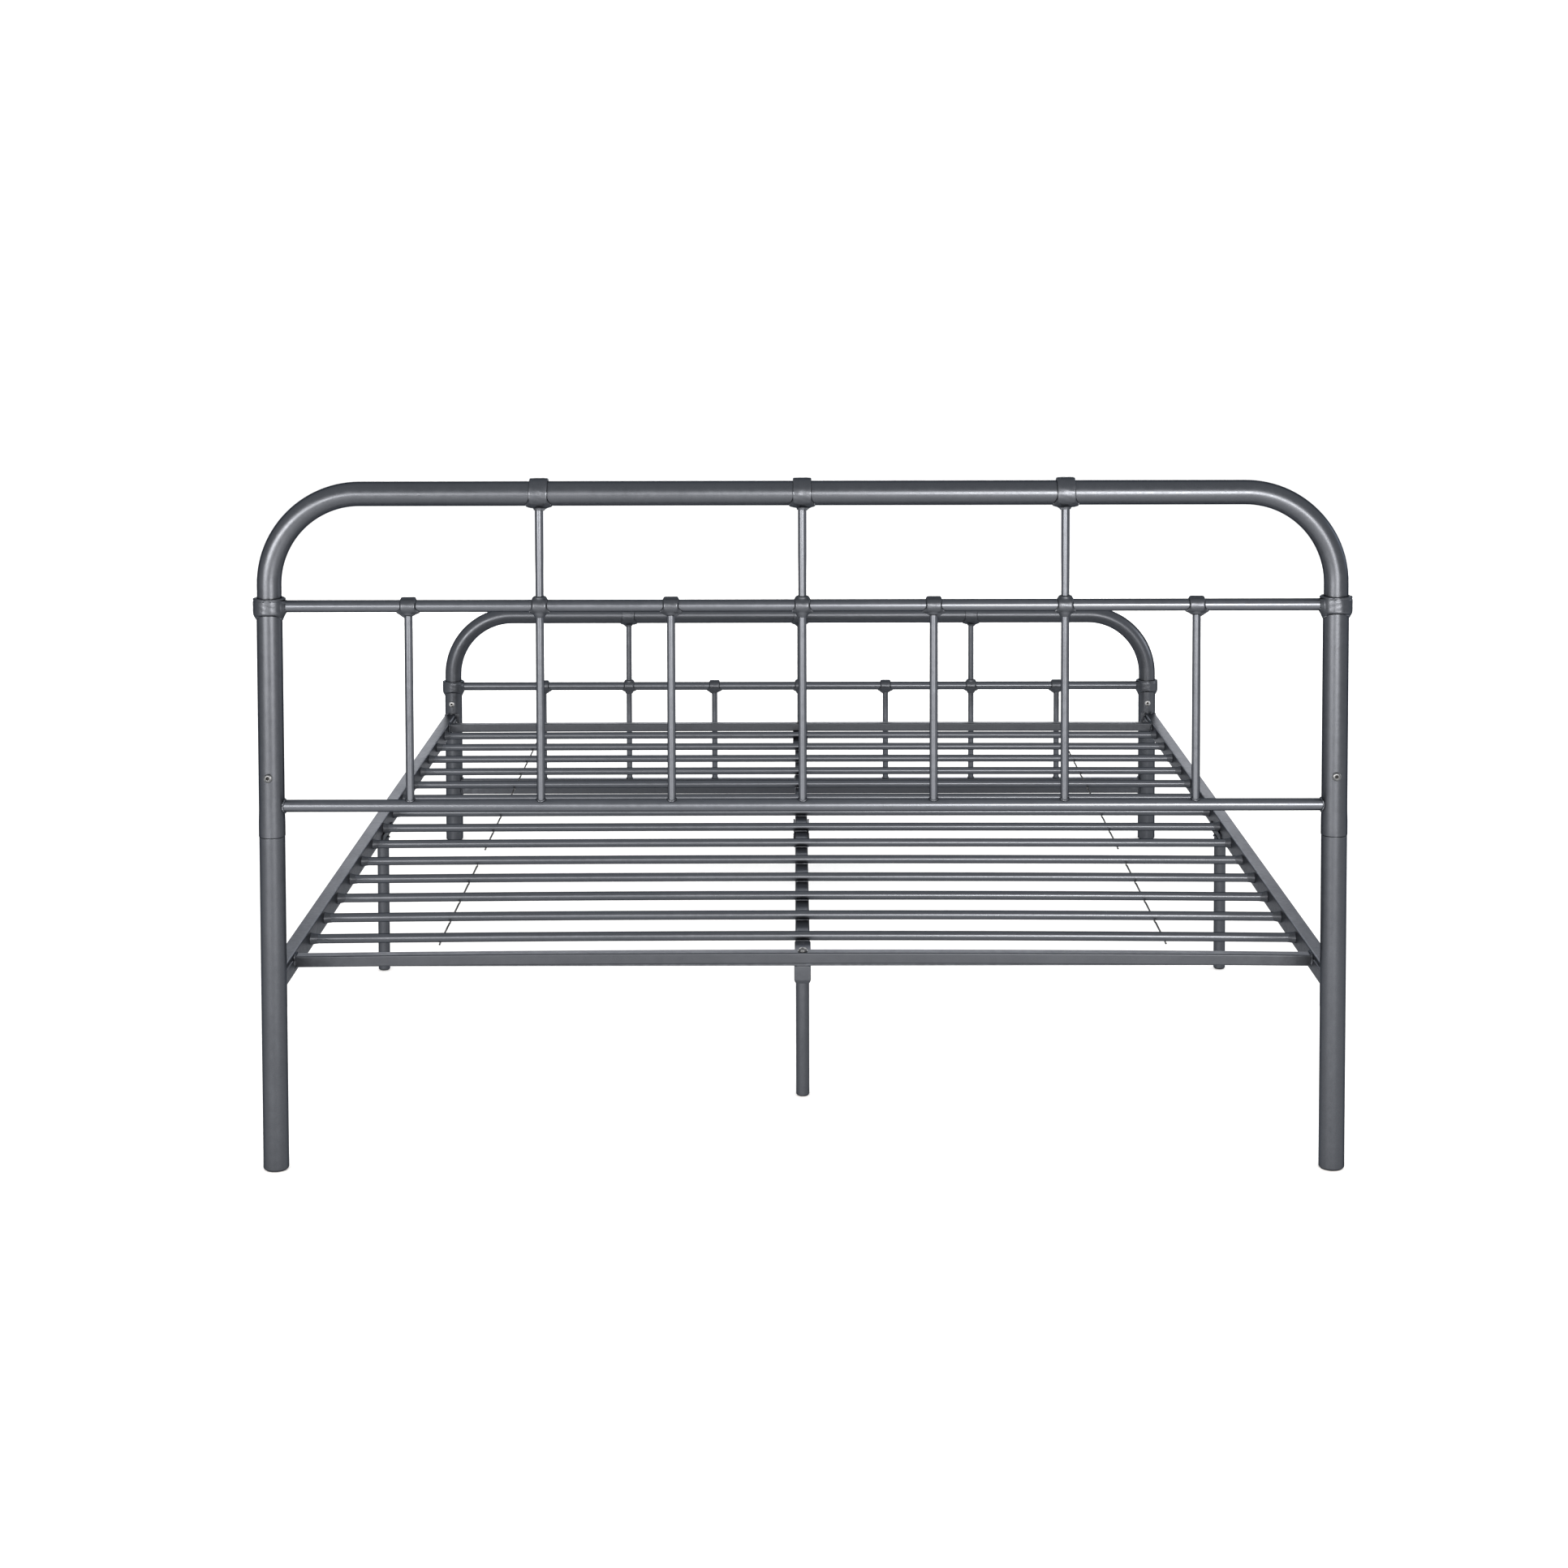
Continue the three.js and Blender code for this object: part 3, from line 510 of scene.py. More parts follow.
class Shade:
    """Small helper to write a node material."""

    def __init__(self, name):
        self.m = bpy.data.materials.new(name)
        self.m.use_nodes = True
        self.t = self.m.node_tree
        self.t.nodes.clear()
        self.out = self.node("ShaderNodeOutputMaterial")
        self.b = self.node("ShaderNodeBsdfPrincipled")
        self.t.links.new(self.b.outputs["BSDF"], self.out.inputs["Surface"])
        self.co = self.node("ShaderNodeTexCoord").outputs["Object"]

    def node(self, kind, **kw):
        n = self.t.nodes.new(kind)
        for k, v in kw.items():
            setattr(n, k, v)
        return n

    def link(self, a, b):
        self.t.links.new(a, b)

    def stretch(self, sx, sy, sz):
        n = self.node("ShaderNodeMapping")
        n.inputs["Scale"].default_value = (sx, sy, sz)
        self.link(self.co, n.inputs["Vector"])
        return n.outputs["Vector"]

    def noise(self, scale, detail=2.0, rough=0.5, vec=None):
        n = self.node("ShaderNodeTexNoise")
        n.inputs["Scale"].default_value = scale
        n.inputs["Detail"].default_value = detail
        n.inputs["Roughness"].default_value = rough
        self.link(vec or self.co, n.inputs["Vector"])
        return n.outputs["Fac"]

    def speck(self, scale, vec=None):
        n = self.node("ShaderNodeTexVoronoi")
        n.inputs["Scale"].default_value = scale
        self.link(vec or self.co, n.inputs["Vector"])
        return n.outputs["Distance"], n.outputs["Color"]

    def remap(self, src, a, b, c, d):
        n = self.node("ShaderNodeMapRange")
        for k, v in zip(("From Min", "From Max", "To Min", "To Max"), (a, b, c, d)):
            n.inputs[k].default_value = v
        self.link(src, n.inputs["Value"])
        return n.outputs["Result"]

    def math(self, op, a, b=None):
        n = self.node("ShaderNodeMath", operation=op)
        for i, v in enumerate((a, b)):
            if v is None:
                continue
            if isinstance(v, (int, float)):
                n.inputs[i].default_value = v
            else:
                self.link(v, n.inputs[i])
        return n.outputs[0]

    def mix(self, fac, a, b, blend="MIX"):
        n = self.node("ShaderNodeMix", data_type="RGBA", blend_type=blend)
        for sock, v in ((n.inputs[0], fac), (n.inputs[6], a), (n.inputs[7], b)):
            if isinstance(v, (int, float)):
                sock.default_value = v
            elif isinstance(v, tuple):
                sock.default_value = (*v, 1.0)
            else:
                self.link(v, sock)
        return n.outputs[2]

    def bump(self, height, distance, strength=1.0, below=None):
        n = self.node("ShaderNodeBump")
        n.inputs["Strength"].default_value = strength
        n.inputs["Distance"].default_value = distance
        self.link(height, n.inputs["Height"])
        if below is not None:
            self.link(below, n.inputs["Normal"])
        return n.outputs["Normal"]


def powder(name, base, rough, tint, metallic=1.0, seed=0.0, peel=1.0, lift=1.0):
    """Satin gunmetal powder coat: fine metallic grain, orange-peel skin,
    cloudy thickness and slightly rubbed edges."""
    s = Shade(name)
    b = s.b
    b.inputs["Metallic"].default_value = metallic
    b.inputs["Specular Tint"].default_value = (*tint, 1.0)
    shift = s.node("ShaderNodeMapping")
    shift.inputs["Location"].default_value = (seed, seed * 1.7, seed * 0.6)
    s.link(s.co, shift.inputs["Vector"])
    v = shift.outputs["Vector"]
    cloud = s.noise(14.0, 3.0, 0.55, v)
    mottle = s.noise(120.0, 3.0, 0.6, v)
    grain = s.noise(900.0, 2.0, 0.6, v)
    dist, cell = s.speck(1500.0, v)
    flake = s.remap(s.math("MULTIPLY", s.remap(dist, 0.0, 0.5, 1.0, 0.0), grain), 0.35, 0.7, 0.0, 1.0)
    k = s.math("ADD", s.remap(cloud, 0.3, 0.7, -0.05, 0.05), s.remap(mottle, 0.3, 0.7, -0.05, 0.05))
    k = s.math("ADD", k, s.remap(grain, 0.3, 0.7, -0.12, 0.12))
    dark = tuple(c * 0.72 for c in base)
    light = tuple(min(1, c * 1.28) for c in base)
    col = s.mix(s.math("ADD", k, 0.5), dark, light)
    col = s.mix(s.math("MULTIPLY", flake, 0.28 if lift else 0.08), col, tuple(min(1, c * 2.3) for c in base))
    geo = s.node("ShaderNodeNewGeometry").outputs["Pointiness"]
    edge = s.math("MULTIPLY", s.remap(geo, 0.53, 0.60, 0.0, 1.0), s.remap(mottle, 0.42, 0.62, 0.1, 0.8))
    edge = s.math("MULTIPLY", edge, lift)
    col = s.mix(s.math("MULTIPLY", edge, 0.45), col, tuple(min(1, c * 2.0) for c in base))
    s.link(col, b.inputs["Base Color"])
    r = s.math("ADD", s.remap(mottle, 0.3, 0.7, rough - 0.035, rough + 0.035), s.remap(cloud, 0.3, 0.7, -0.02, 0.02))
    r = s.math("ADD", r, s.math("MULTIPLY", edge, -0.06))
    s.link(r, b.inputs["Roughness"])
    skin_n = s.bump(s.noise(430.0, 2.0, 0.5, v), 0.00015 * peel, 0.5)
    s.link(s.bump(grain, 0.00010 * peel, 0.5, skin_n), b.inputs["Normal"])
    return s.m


def zinc(name, low=(0.07, 0.073, 0.077), high=(0.125, 0.129, 0.134)):
    """Zinc: turned, slightly brushed and stained."""
    s = Shade(name)
    b = s.b
    b.inputs["Metallic"].default_value = 1.0
    mottle = s.noise(260.0, 3.0, 0.6)
    fine = s.noise(1800.0, 2.0, 0.5)
    col = s.mix(s.remap(mottle, 0.3, 0.7, 0.0, 1.0), low, high)
    s.link(col, b.inputs["Base Color"])
    s.link(s.remap(fine, 0.3, 0.7, 0.3, 0.44), b.inputs["Roughness"])
    s.link(s.bump(fine, 0.00004, 0.5), b.inputs["Normal"])
    return s.m


def dark_wire(name):
    """Black coated wire with a dull, slightly wavy skin."""
    s = Shade(name)
    b = s.b
    b.inputs["Metallic"].default_value = 0.0
    b.inputs["Specular IOR Level"].default_value = 0.14
    mottle = s.noise(300.0, 3.0, 0.6)
    s.link(s.mix(s.remap(mottle, 0.3, 0.7, 0.0, 1.0), (0.005, 0.0052, 0.0056), (0.012, 0.0125, 0.0135)), b.inputs["Base Color"])
    s.link(s.remap(mottle, 0.3, 0.7, 0.42, 0.58), b.inputs["Roughness"])
    s.link(s.bump(s.noise(1200.0, 2.0), 0.00005, 0.5), b.inputs["Normal"])
    return s.m


BASE = (0.0602, 0.0645, 0.0733)
MAT = {
    "tube_coat": powder("tube_coat", BASE, 0.35, (0.26, 0.27, 0.28), seed=0.0, peel=0.8),
    "spindle_coat": powder("spindle_coat", tuple(c * 1.38 for c in BASE), 0.33, (0.12, 0.13, 0.14), seed=3.1, peel=0.2, lift=0.0),
    "cast_coat": powder("cast_coat", tuple(c * 0.97 for c in BASE), 0.36, (0.36, 0.37, 0.38), seed=5.3, peel=1.4, lift=1.3),
    # rough weld finish; its darker base (x0.80) is painted shade where slats and crossbars meet the rails
    "weld_coat_painted_shade": powder("weld_coat_painted_shade", tuple(c * 0.80 for c in BASE), 0.48, (0.36, 0.37, 0.38), seed=8.9, peel=1.8),
    "rail_coat": powder("rail_coat", tuple(c * 0.82 for c in BASE), 0.42, (0.50, 0.51, 0.53), seed=7.7, peel=0.8),
    "slat_coat": powder("slat_coat", tuple(c * 1.20 for c in BASE), 0.34, (0.10, 0.11, 0.12), seed=11.9, peel=0.1, lift=0.0),
    "leg_coat": powder("leg_coat", BASE, 0.35, (0.34, 0.35, 0.36), seed=13.3),
    "wire_coat": dark_wire("wire_coat"),
    "bolt_zinc": zinc("bolt_zinc"),
    "bolt_zinc_bright": zinc("bolt_zinc_bright", (0.22, 0.225, 0.23), (0.34, 0.345, 0.35)),
}


# ------------------------------------------------------------------ pieces
def corner_normals(verts, faces, sharp):
    """Area-weighted normals, one per face corner, split where the surface
    turns by more than sharp degrees, so that flats stay flat up to a bend."""
    size = np.array([len(f) for f in faces])
    loop_v = np.concatenate([np.asarray(f) for f in faces])
    loop_f = np.repeat(np.arange(len(faces)), size)
    first = np.concatenate([[0], np.cumsum(size)[:-1]])
    within = np.arange(len(loop_v)) - first[loop_f]
    nxt = loop_v[first[loop_f] + (within + 1) % size[loop_f]]
    cr = np.cross(verts[loop_v] - verts[loop_v[first[loop_f]]], verts[nxt] - verts[loop_v[first[loop_f]]])
    fn = np.zeros((len(faces), 3))
    np.add.at(fn, loop_f, cr)
    unit = fn / (np.linalg.norm(fn, axis=1)[:, None] + 1e-12)
    order = np.argsort(loop_v, kind="stable")
    sv = loop_v[order]
    start = np.concatenate([[0], np.flatnonzero(np.diff(sv)) + 1])
    count = np.diff(np.concatenate([start, [len(sv)]]))
    group = np.repeat(np.arange(len(start)), count)
    pos = np.arange(len(sv)) - start[group]
    out = np.zeros((len(loop_v), 3))
    mine = unit[loop_f[order]]
    limit = math.cos(math.radians(sharp))
    for k in range(int(count.max())):
        has = count[group] > k
        other = order[np.where(has, start[group] + k, 0)]
        of = loop_f[other]
        near = has & (np.einsum("ij,ij->i", mine, unit[of]) > limit)
        out[order] += np.where(near[:, None], fn[of], 0)
    out[order] = np.where(np.linalg.norm(out[order], axis=1)[:, None] > 1e-12, out[order], mine)
    return out / (np.linalg.norm(out, axis=1)[:, None] + 1e-12)


def piece(name, geo, slot, nodes=(), material=None, sharp=38):
    """Makes one riding piece from its shells. material may be a list of
    (material, first vertex) pairs for a piece with cast and plain parts."""
    verts = np.concatenate(geo.v) * MM
    mesh = bpy.data.meshes.new(name)
    mesh.from_pydata(verts.tolist(), [], geo.f)
    mesh.validate()
    mesh.update()
    for p in mesh.polygons:
        p.use_smooth = True
    if len(mesh.loops) == sum(len(f) for f in geo.f):
        mesh.normals_split_custom_set(corner_normals(verts, geo.f, sharp).tolist())
    else:
        mesh.set_sharp_from_angle(angle=math.radians(sharp))
    o = bpy.data.objects.new(name, mesh)
    bpy.context.scene.collection.objects.link(o)
    parts = material or [(slot, 0)]
    for key, _ in parts:
        mesh.materials.append(MAT[key])
    if len(parts) > 1:
        first = np.array([p.vertices[0] for p in mesh.polygons])
        idx = np.zeros(len(first), int)
        for k, (_, start) in enumerate(parts):
            idx[first >= start] = k
        mesh.polygons.foreach_set("material_index", idx.astype(np.int32))
    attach(o, "root")
    if nodes:
        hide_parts(*nodes)
    return o


def add_casting(geo, key, at, flip=(1, 1, 1)):
    P, Q = MASTER[key]
    return geo.merge(P, Q, at, flip)


def arch(name, y, top, mid, spigot_end):
    """The bent tube, with its reduced ends in the posts."""
    shoulder = mid + 0.9
    n = 28
    cz, cx = top - BEND_R, POST_X - BEND_R
    pts, tan = [], []

    def station(x, z, tx, tz):
        pts.append((x, y, z))
        tan.append((tx, 0, tz))
    for i in range(n + 1):
        a = (i / n) * math.pi / 2
        station(-cx - BEND_R * math.cos(a), cz + BEND_R * math.sin(a), math.sin(a), math.cos(a))
    for i in range(1, 8):
        station(-cx + 2 * cx * i / 8, top, 1, 0)
    for i in range(n + 1):
        a = (1 - i / n) * math.pi / 2
        station(cx + BEND_R * math.cos(a), cz + BEND_R * math.sin(a), math.sin(a), -math.cos(a))
    L = [(-POST_X, y, spigot_end), (-POST_X, y, spigot_end + 0.4), (-POST_X, y, shoulder - 0.4), (-POST_X, y, shoulder), (-POST_X, y, shoulder + 0.5)]
    R = [(POST_X, y, p[2]) for p in L[::-1]]
    up, down = [(0, 0, 1)] * 5, [(0, 0, -1)] * 5
    rad = [SPIGOT_R - 0.4, SPIGOT_R, SPIGOT_R, ARCH_R - 0.3, ARCH_R]
    C, T = L + pts + R, up + tan + down
    radii = rad + [ARCH_R] * len(pts) + rad[::-1]
    inner = [((POST_X, y, spigot_end), (0, 0, -1), SPIGOT_BORE), ((POST_X, y, shoulder + 9), (0, 0, -1), SPIGOT_BORE),
             ((POST_X, y, shoulder + 10), (0, 0, -1), ARCH_BORE)]
    inner += [(p, t, ARCH_BORE) for p, t in zip(pts[::-1], tan[::-1])]
    inner += [((-POST_X, y, shoulder + 10), (0, 0, 1), ARCH_BORE), ((-POST_X, y, shoulder + 9), (0, 0, 1), SPIGOT_BORE),
              ((-POST_X, y, spigot_end), (0, 0, 1), SPIGOT_BORE)]
    inner = [(np.array(p), np.array(t), r) for p, t, r in inner]
    g = Geo()
    swept(g, C, T, radii, inner, sides=64)
    piece("arch_" + name, g, "tube_coat", [name])


def loop_on_post(rail_r, post_x, y, z, side, reach):
    """Where a round rail of radius rail_r meets a post: points and the
    directions that face out of the corner."""
    m = 84
    a = TAU * np.arange(m) / m
    ry, rz = rail_r * np.cos(a), rail_r * np.sin(a)
    off = np.sqrt(reach ** 2 - ry ** 2)
    p = np.stack([post_x - side * off, y + ry, z + rz], 1)
    out = np.stack([-side * np.ones(m) * 0.6, np.cos(a), np.sin(a)], 1)
    return p, out


def spindle(name, x, y, mid, top, low, long, gusset, node, coped, seed):
    g = Geo()
    cuts = 6
    lo_bar = np.array([[SPINDLE_R, low + (mid - 9.3 - low) * k / cuts] for k in range(cuts + 1)])
    turned(g, lo_bar, (x, y, 0), (0, 0, 1), 36, wrap=False)
    if long:
        hi_bar = np.array([[SPINDLE_R, mid + 9.3 + (top - 18.0 - mid - 9.3) * k / 4] for k in range(5)])
        turned(g, hi_bar, (x, y, 0), (0, 0, 1), 36, wrap=False)
    # small weld round the spindle's foot
    m = 64
    a = TAU * np.arange(m) / m
    if coped:
        zc = HEAD_LOW + np.sqrt(np.maximum((RAIL_R + 0.2) ** 2 - (SPINDLE_R * np.sin(a)) ** 2, 0))
    else:
        zc = np.full(m, FOOT_BAND + 15 + 0.5)
    p = np.stack([x + (SPINDLE_R + 0.25) * np.cos(a), y + (SPINDLE_R + 0.25) * np.sin(a), zc + 0.3], 1)
    out = np.stack([np.cos(a), np.sin(a), 0.7 * np.ones(m)], 1)
    bead(g, p, 1.15, seed, out, 8, 0.22, 2.4)
    start = g.n
    add_casting(g, "long" if long else ("short-" if gusset < 0 else "short+"), (x, y, mid))
    if long:
        add_casting(g, "top-" if gusset < 0 else "top+", (x, y, top))
    piece(name, g, "spindle_coat", [node], [("spindle_coat", 0), ("cast_coat", start)])


def socket_bolt(geo, at, axis, scale=1.0, shank=12.0, washer=False, sides=48):
    """Button-head bolt with a hexagon socket; at is on the seat, axis out."""
    axis = np.asarray(axis, float) / np.linalg.norm(axis)
    ref = np.array([0.0, 0.0, 1.0]) if abs(axis[2]) < 0.9 else np.array([0.0, 1.0, 0.0])
    e1 = np.cross(axis, ref)
    e1 /= np.linalg.norm(e1)
    e2 = np.cross(axis, e1)
    ang = TAU * np.arange(sides) / sides
    hexr = 1.0 / np.cos(((ang + math.pi / 6) % (math.pi / 3)) - math.pi / 6)
    at = np.asarray(at, float)
    lift = 1.0 if washer else 0.0
    if washer:
        turned(geo, rounded([[3.2, 0], [6.6, 0], [6.6, 1.0], [3.2, 1.0]], [0, 0.3, 0.35, 0], 2) * [scale, 1], at, axis, sides)
    rows = [(2.9, -shank, 0), (2.9, lift - 0.02, 0), (5.2, lift - 0.01, 0), (5.7, lift + 0.25, 0), (5.8, lift + 0.8, 0), (5.62, lift + 1.5, 0),
            (5.1, lift + 2.2, 0), (4.3, lift + 2.75, 0), (3.4, lift + 3.08, 0), (2.75, lift + 3.15, 0), (2.4, lift + 3.1, 0.5), (2.15, lift + 2.8, 1),
            (2.15, lift + 0.3, 1), (0.6, lift + 0.1, 0)]
    rings = []
    for r, d, hx in rows:
        rr = scale * r * (1 + hx * (hexr - 1))
        rings.append(at + d * scale * axis + rr[:, None] * (np.cos(ang)[:, None] * e1 + np.sin(ang)[:, None] * e2))
    return loft(geo, rings, False)


# ---- panels
def post_profile(bottom, mid, seam):
    """Post tube's wall up to its nest in the collar."""
    topz = mid - 1.5
    if seam:
        b = HEAD_SEAM + 0.3
        pts = [[POST_BORE, b], [POST_R + 0.45, b], [POST_R + 0.45, b + 18], [POST_R, b + 34], [POST_R, topz], [POST_BORE, topz]]
        return rounded(pts, [0, 0.5, 8, 8, 0.2, 0], 3)
    pts = [[14.3, 0], [POST_R, 2.4], [POST_R, topz], [POST_BORE, topz], [POST_BORE, 3.0], [0.8, 3.0], [0.8, 0]]
    return rounded(pts, [1.2, 2.4, 0.2, 0, 0, 0, 0], 4)


def socket_shade_disc(geo, at, axis, scale=1.0, lift=0.0, depth=0.75):
    """Painted shade: a near-black disc deep inside a bolt's socket stands in for the shade in the recess; returns where
    it starts.
    """
    start = geo.n
    turned(geo, [[2.13 * scale, (lift + depth - 0.3) * scale], [2.13 * scale, (lift + depth) * scale]], at, axis, 24, wrap=False)
    return start


def foot_plug(geo, x, y, r):
    """Moulded cap pressed into a tube's foot."""
    turned(geo, rounded([[r - 2.6, 0.6], [r - 1.2, 0.0], [r - 0.4, 1.4]], [0, 0.4, 0], 2, closed=False), (x, y, 0), (0, 0, 1), 40, wrap=False)


for panel, y, top, mid, spig in (("head", -PANEL_Y, HEAD_TOP, HEAD_MID, HEAD_MID - 48), ("foot", PANEL_Y, FOOT_TOP, FOOT_MID, FOOT_BOLT - 18)):
    arch(panel + "_arch_tube", y, top, mid, spig)
    for tag, s in (("left", -1), ("right", 1)):
        x = s * POST_X
        g = Geo()
        turned(g, post_profile(0, mid, panel == "head"), (x, y, 0), (0, 0, 1), 64)
        start = g.n
        add_casting(g, "collar", (x, y, mid), (-s, 1, 1))
        piece(f"{panel}_post_shell_{tag}", g, "tube_coat", [f"{panel}_post_{tag}"], [("tube_coat", 0), ("cast_coat", start)])
        if panel == "head":
            g = Geo()
            pts = [[14.3, 0], [POST_R, 2.4], [POST_R, HEAD_SEAM - 0.3], [SPIGOT_R, HEAD_SEAM - 0.3], [SPIGOT_R, 546], [SPIGOT_BORE, 546],
                   [SPIGOT_BORE, 424], [POST_BORE, 420], [POST_BORE, 3], [0.8, 3], [0.8, 0]]
            turned(g, rounded(pts, [1.2, 2.4, 0.6, 0, 0.3, 0, 0, 0, 0, 0, 0], 4), (x, y, 0), (0, 0, 1), 64)
            piece(f"head_leg_tube_{tag}", g, "leg_coat", [f"head_leg_{tag}"])
        bz = HEAD_BOLT if panel == "head" else FOOT_BOLT
        turn = BOLT_TURN[s]
        axis = np.array([s * math.sin(turn), -math.cos(turn), 0])
        g = Geo()
        seat = np.array([x, y, bz]) + axis * (POST_R - 0.25)
        socket_bolt(g, seat, axis)
        # near-black disc inside the socket: painted shade in the recess
        start = socket_shade_disc(g, seat, axis)
        piece(f"{panel}_post_bolt_{tag}", g, "bolt_zinc", [f"{panel}_bolt_{tag}"], [("bolt_zinc" if panel == "head" else "bolt_zinc_bright", 0), ("wire_coat", start)])
    end = POST_X - POST_R - 0.4
    g = Geo()
    turned(g, pipe_profile(RAIL_R, RAIL_BORE, -end, end, 0.3, 8), (0, y, mid), (1, 0, 0), 44)
    piece(f"{panel}_mid_rail_tube", g, "tube_coat", [f"{panel}_mid_rail"], [("spindle_coat", 0)])

# lower rail of the headboard, coped to the posts and welded
g = Geo()
m = 48
ang = TAU * np.arange(m) / m
rings = []
y = -PANEL_Y


def rail_ring(side, r, reach=POST_R + 0.15):
    ry, rz = r * np.cos(ang), r * np.sin(ang)
    off = np.sqrt(reach ** 2 - ry ** 2)
    return np.stack([side * (POST_X - off), y + ry, HEAD_LOW + rz], 1)


rings.append(rail_ring(-1, RAIL_R))
for k in range(1, 8):
    rings.append(np.stack([np.full(m, -600 + 150.0 * k + 0.0), y + RAIL_R * np.cos(ang), HEAD_LOW + RAIL_R * np.sin(ang)], 1))
rings.append(rail_ring(1, RAIL_R))
rings.append(rail_ring(1, RAIL_BORE))
rings.append(rail_ring(-1, RAIL_BORE))
loft(g, rings, True)
for s in (-1, 1):
    p, out = loop_on_post(RAIL_R + 0.3, s * POST_X, y, HEAD_LOW, s, POST_R + 0.5)
    bead(g, p, 1.3, 40 + s, out, 10, 0.34, 2.4)
piece("head_lower_rail_tube", g, "tube_coat", ["head_lower_rail"], [("spindle_coat", 0)])

# flat lower band of the footboard
g = Geo()
y = PANEL_Y
sec_o, sec_i = rrect(15, 30, 2.2, 5), rrect(15 - 2 * WALL, 30 - 2 * WALL, 1.0, 5)


def band_ring(side, sec, reach=POST_R + 0.15):
    off = np.sqrt(reach ** 2 - sec[:, 0] ** 2)
    return np.stack([side * (POST_X - off), y + sec[:, 0], FOOT_BAND + sec[:, 1]], 1)


def band_mid(xx, sec):
    return np.stack([np.full(len(sec), xx), y + sec[:, 0], FOOT_BAND + sec[:, 1]], 1)


rings = [band_ring(-1, sec_o)] + [band_mid(xx, sec_o) for xx in (-600.0, -300.0, 0.0, 300.0, 600.0)] + [band_ring(1, sec_o), band_ring(1, sec_i), band_ring(-1, sec_i)]
loft(g, rings, True)
for s in (-1, 1):
    sec = rrect(15.6, 30.6, 2.5, 12)
    keep = np.linalg.norm(np.roll(sec, -1, 0) - sec, axis=1) > 0
    dense = []
    for i in range(len(sec)):
        a, b = sec[i], sec[(i + 1) % len(sec)]
        k = max(1, int(np.linalg.norm(b - a) / 1.0))
        dense += [a + (b - a) * j / k for j in range(k)]
    sec = np.array(dense)
    off = np.sqrt((POST_R + 0.4) ** 2 - sec[:, 0] ** 2)
    p = np.stack([s * (POST_X - off), y + sec[:, 0], FOOT_BAND + sec[:, 1]], 1)
    out = np.stack([-s * 0.6 * np.ones(len(sec)), sec[:, 0] / 8, sec[:, 1] / 15], 1)
    bead(g, p, 1.5, 60 + s, out, 8, 0.25, 3.0)
piece("foot_lower_band_tube", g, "rail_coat", ["foot_lower_band"])

GUSSET = {1: -1, 2: 1, 3: 1, 4: 1, 5: 1, 6: -1, 7: 1}
for i in range(-3, 4):
    k = i + 4
    spindle(f"head_spindle_bar_{k}", i * PITCH, -PANEL_Y, HEAD_MID, HEAD_TOP, HEAD_LOW + 6.2, i % 2 == 0, GUSSET[k], f"head_spindle_{k}", True, 100 + k)
    spindle(f"foot_spindle_bar_{k}", i * PITCH, PANEL_Y, FOOT_MID, FOOT_TOP, FOOT_BAND + 15 + 0.2, i % 2 == 0, -GUSSET[k], f"foot_spindle_{k}", False, 120 + k)

# ---- side rails
for tag, s in (("left", -1), ("right", 1)):
    far = PANEL_Y - POST_R - 0.3 - 3.2
    cx, cz = s * (SIDE_IN + SIDE_W / 2), SIDE_TOP - SIDE_H / 2
    for half, y0, y1, e in (("head", -far, SPLICE_Y - 0.3, -1), ("foot", SPLICE_Y, far, 1)):
        g = Geo()
        box_tube(g, (cx, cz), (SIDE_W, SIDE_H), (y0, y1), "y", 2.3, WALL, 8, 0.35)
        end = y0 if e < 0 else y1
        xs = sorted((s * 676.5, s * 706.0))
        out = rounded([(xs[0], 206.0), (xs[1], 206.0), (xs[1], 255.6), (xs[0], 255.6)], 3.0, 5)
        plate(g, out, min(end, end + e * 3.2), max(end, end + e * 3.2), "y", 0.5)
        yi = end - e * 82
        leaf = [(end, 231), (yi - e * -8, 231), (yi, 236), (yi, 242), (yi - e * -8, 250), (end, 250)]
        leaf = rounded(leaf, [0.4, 5, 4, 4, 5, 0.4], 5)
        xl = sorted((s * (SIDE_IN - 3), s * (SIDE_IN + 0.4)))
        plate(g, leaf, xl[0], xl[1], "x", 0.5)
        # weld between the end plate and the rail
        sec = []
        base = rrect(SIDE_W + 0.5, SIDE_H + 0.5, 2.6, 6)
        for i in range(len(base)):
            a, b = base[i], base[(i + 1) % len(base)]
            k = max(1, int(np.linalg.norm(b - a) / 1.1))
            sec += [a + (b - a) * j / k for j in range(k)]
        sec = np.array(sec)
        p = np.stack([cx + sec[:, 0], np.full(len(sec), end - e * 0.5), cz + sec[:, 1]], 1)
        outw = np.stack([sec[:, 0] / 10, -e * 0.7 * np.ones(len(sec)), sec[:, 1] / 15], 1)
        bead(g, p, 0.8, 200 + s * 3 + e, outw, 8, 0.08, 3.2)
        if half == "foot":
            box_tube(g, (cx, cz), (SIDE_W - 2 * WALL - 0.6, SIDE_H - 2 * WALL - 0.6), (y0 - 60, y0 + 8), "y", 1.2, WALL, 1, 0.3)
        piece(f"side_rail_tube_{tag}_{half}", g, "rail_coat", [f"side_rail_{tag}_{half}_half"])
        if half == "head":
            continue
        g = Geo()
        seats = [((s * (SIDE_IN - 3.0), end - e * dy, 238.5), (-s, 0, 0)) for dy in (20.0, 58.0)]
        for at, axis in seats:
            socket_bolt(g, at, axis, 0.9, 6.0)
        # near-black discs inside the bolt sockets: painted shade in the recesses
        start = g.n
        for at, axis in seats:
            socket_shade_disc(g, at, axis, 0.9)
        piece(f"bracket_bolts_{tag}_{half}", g, "bolt_zinc", (), [("bolt_zinc", 0), ("wire_coat", start)])

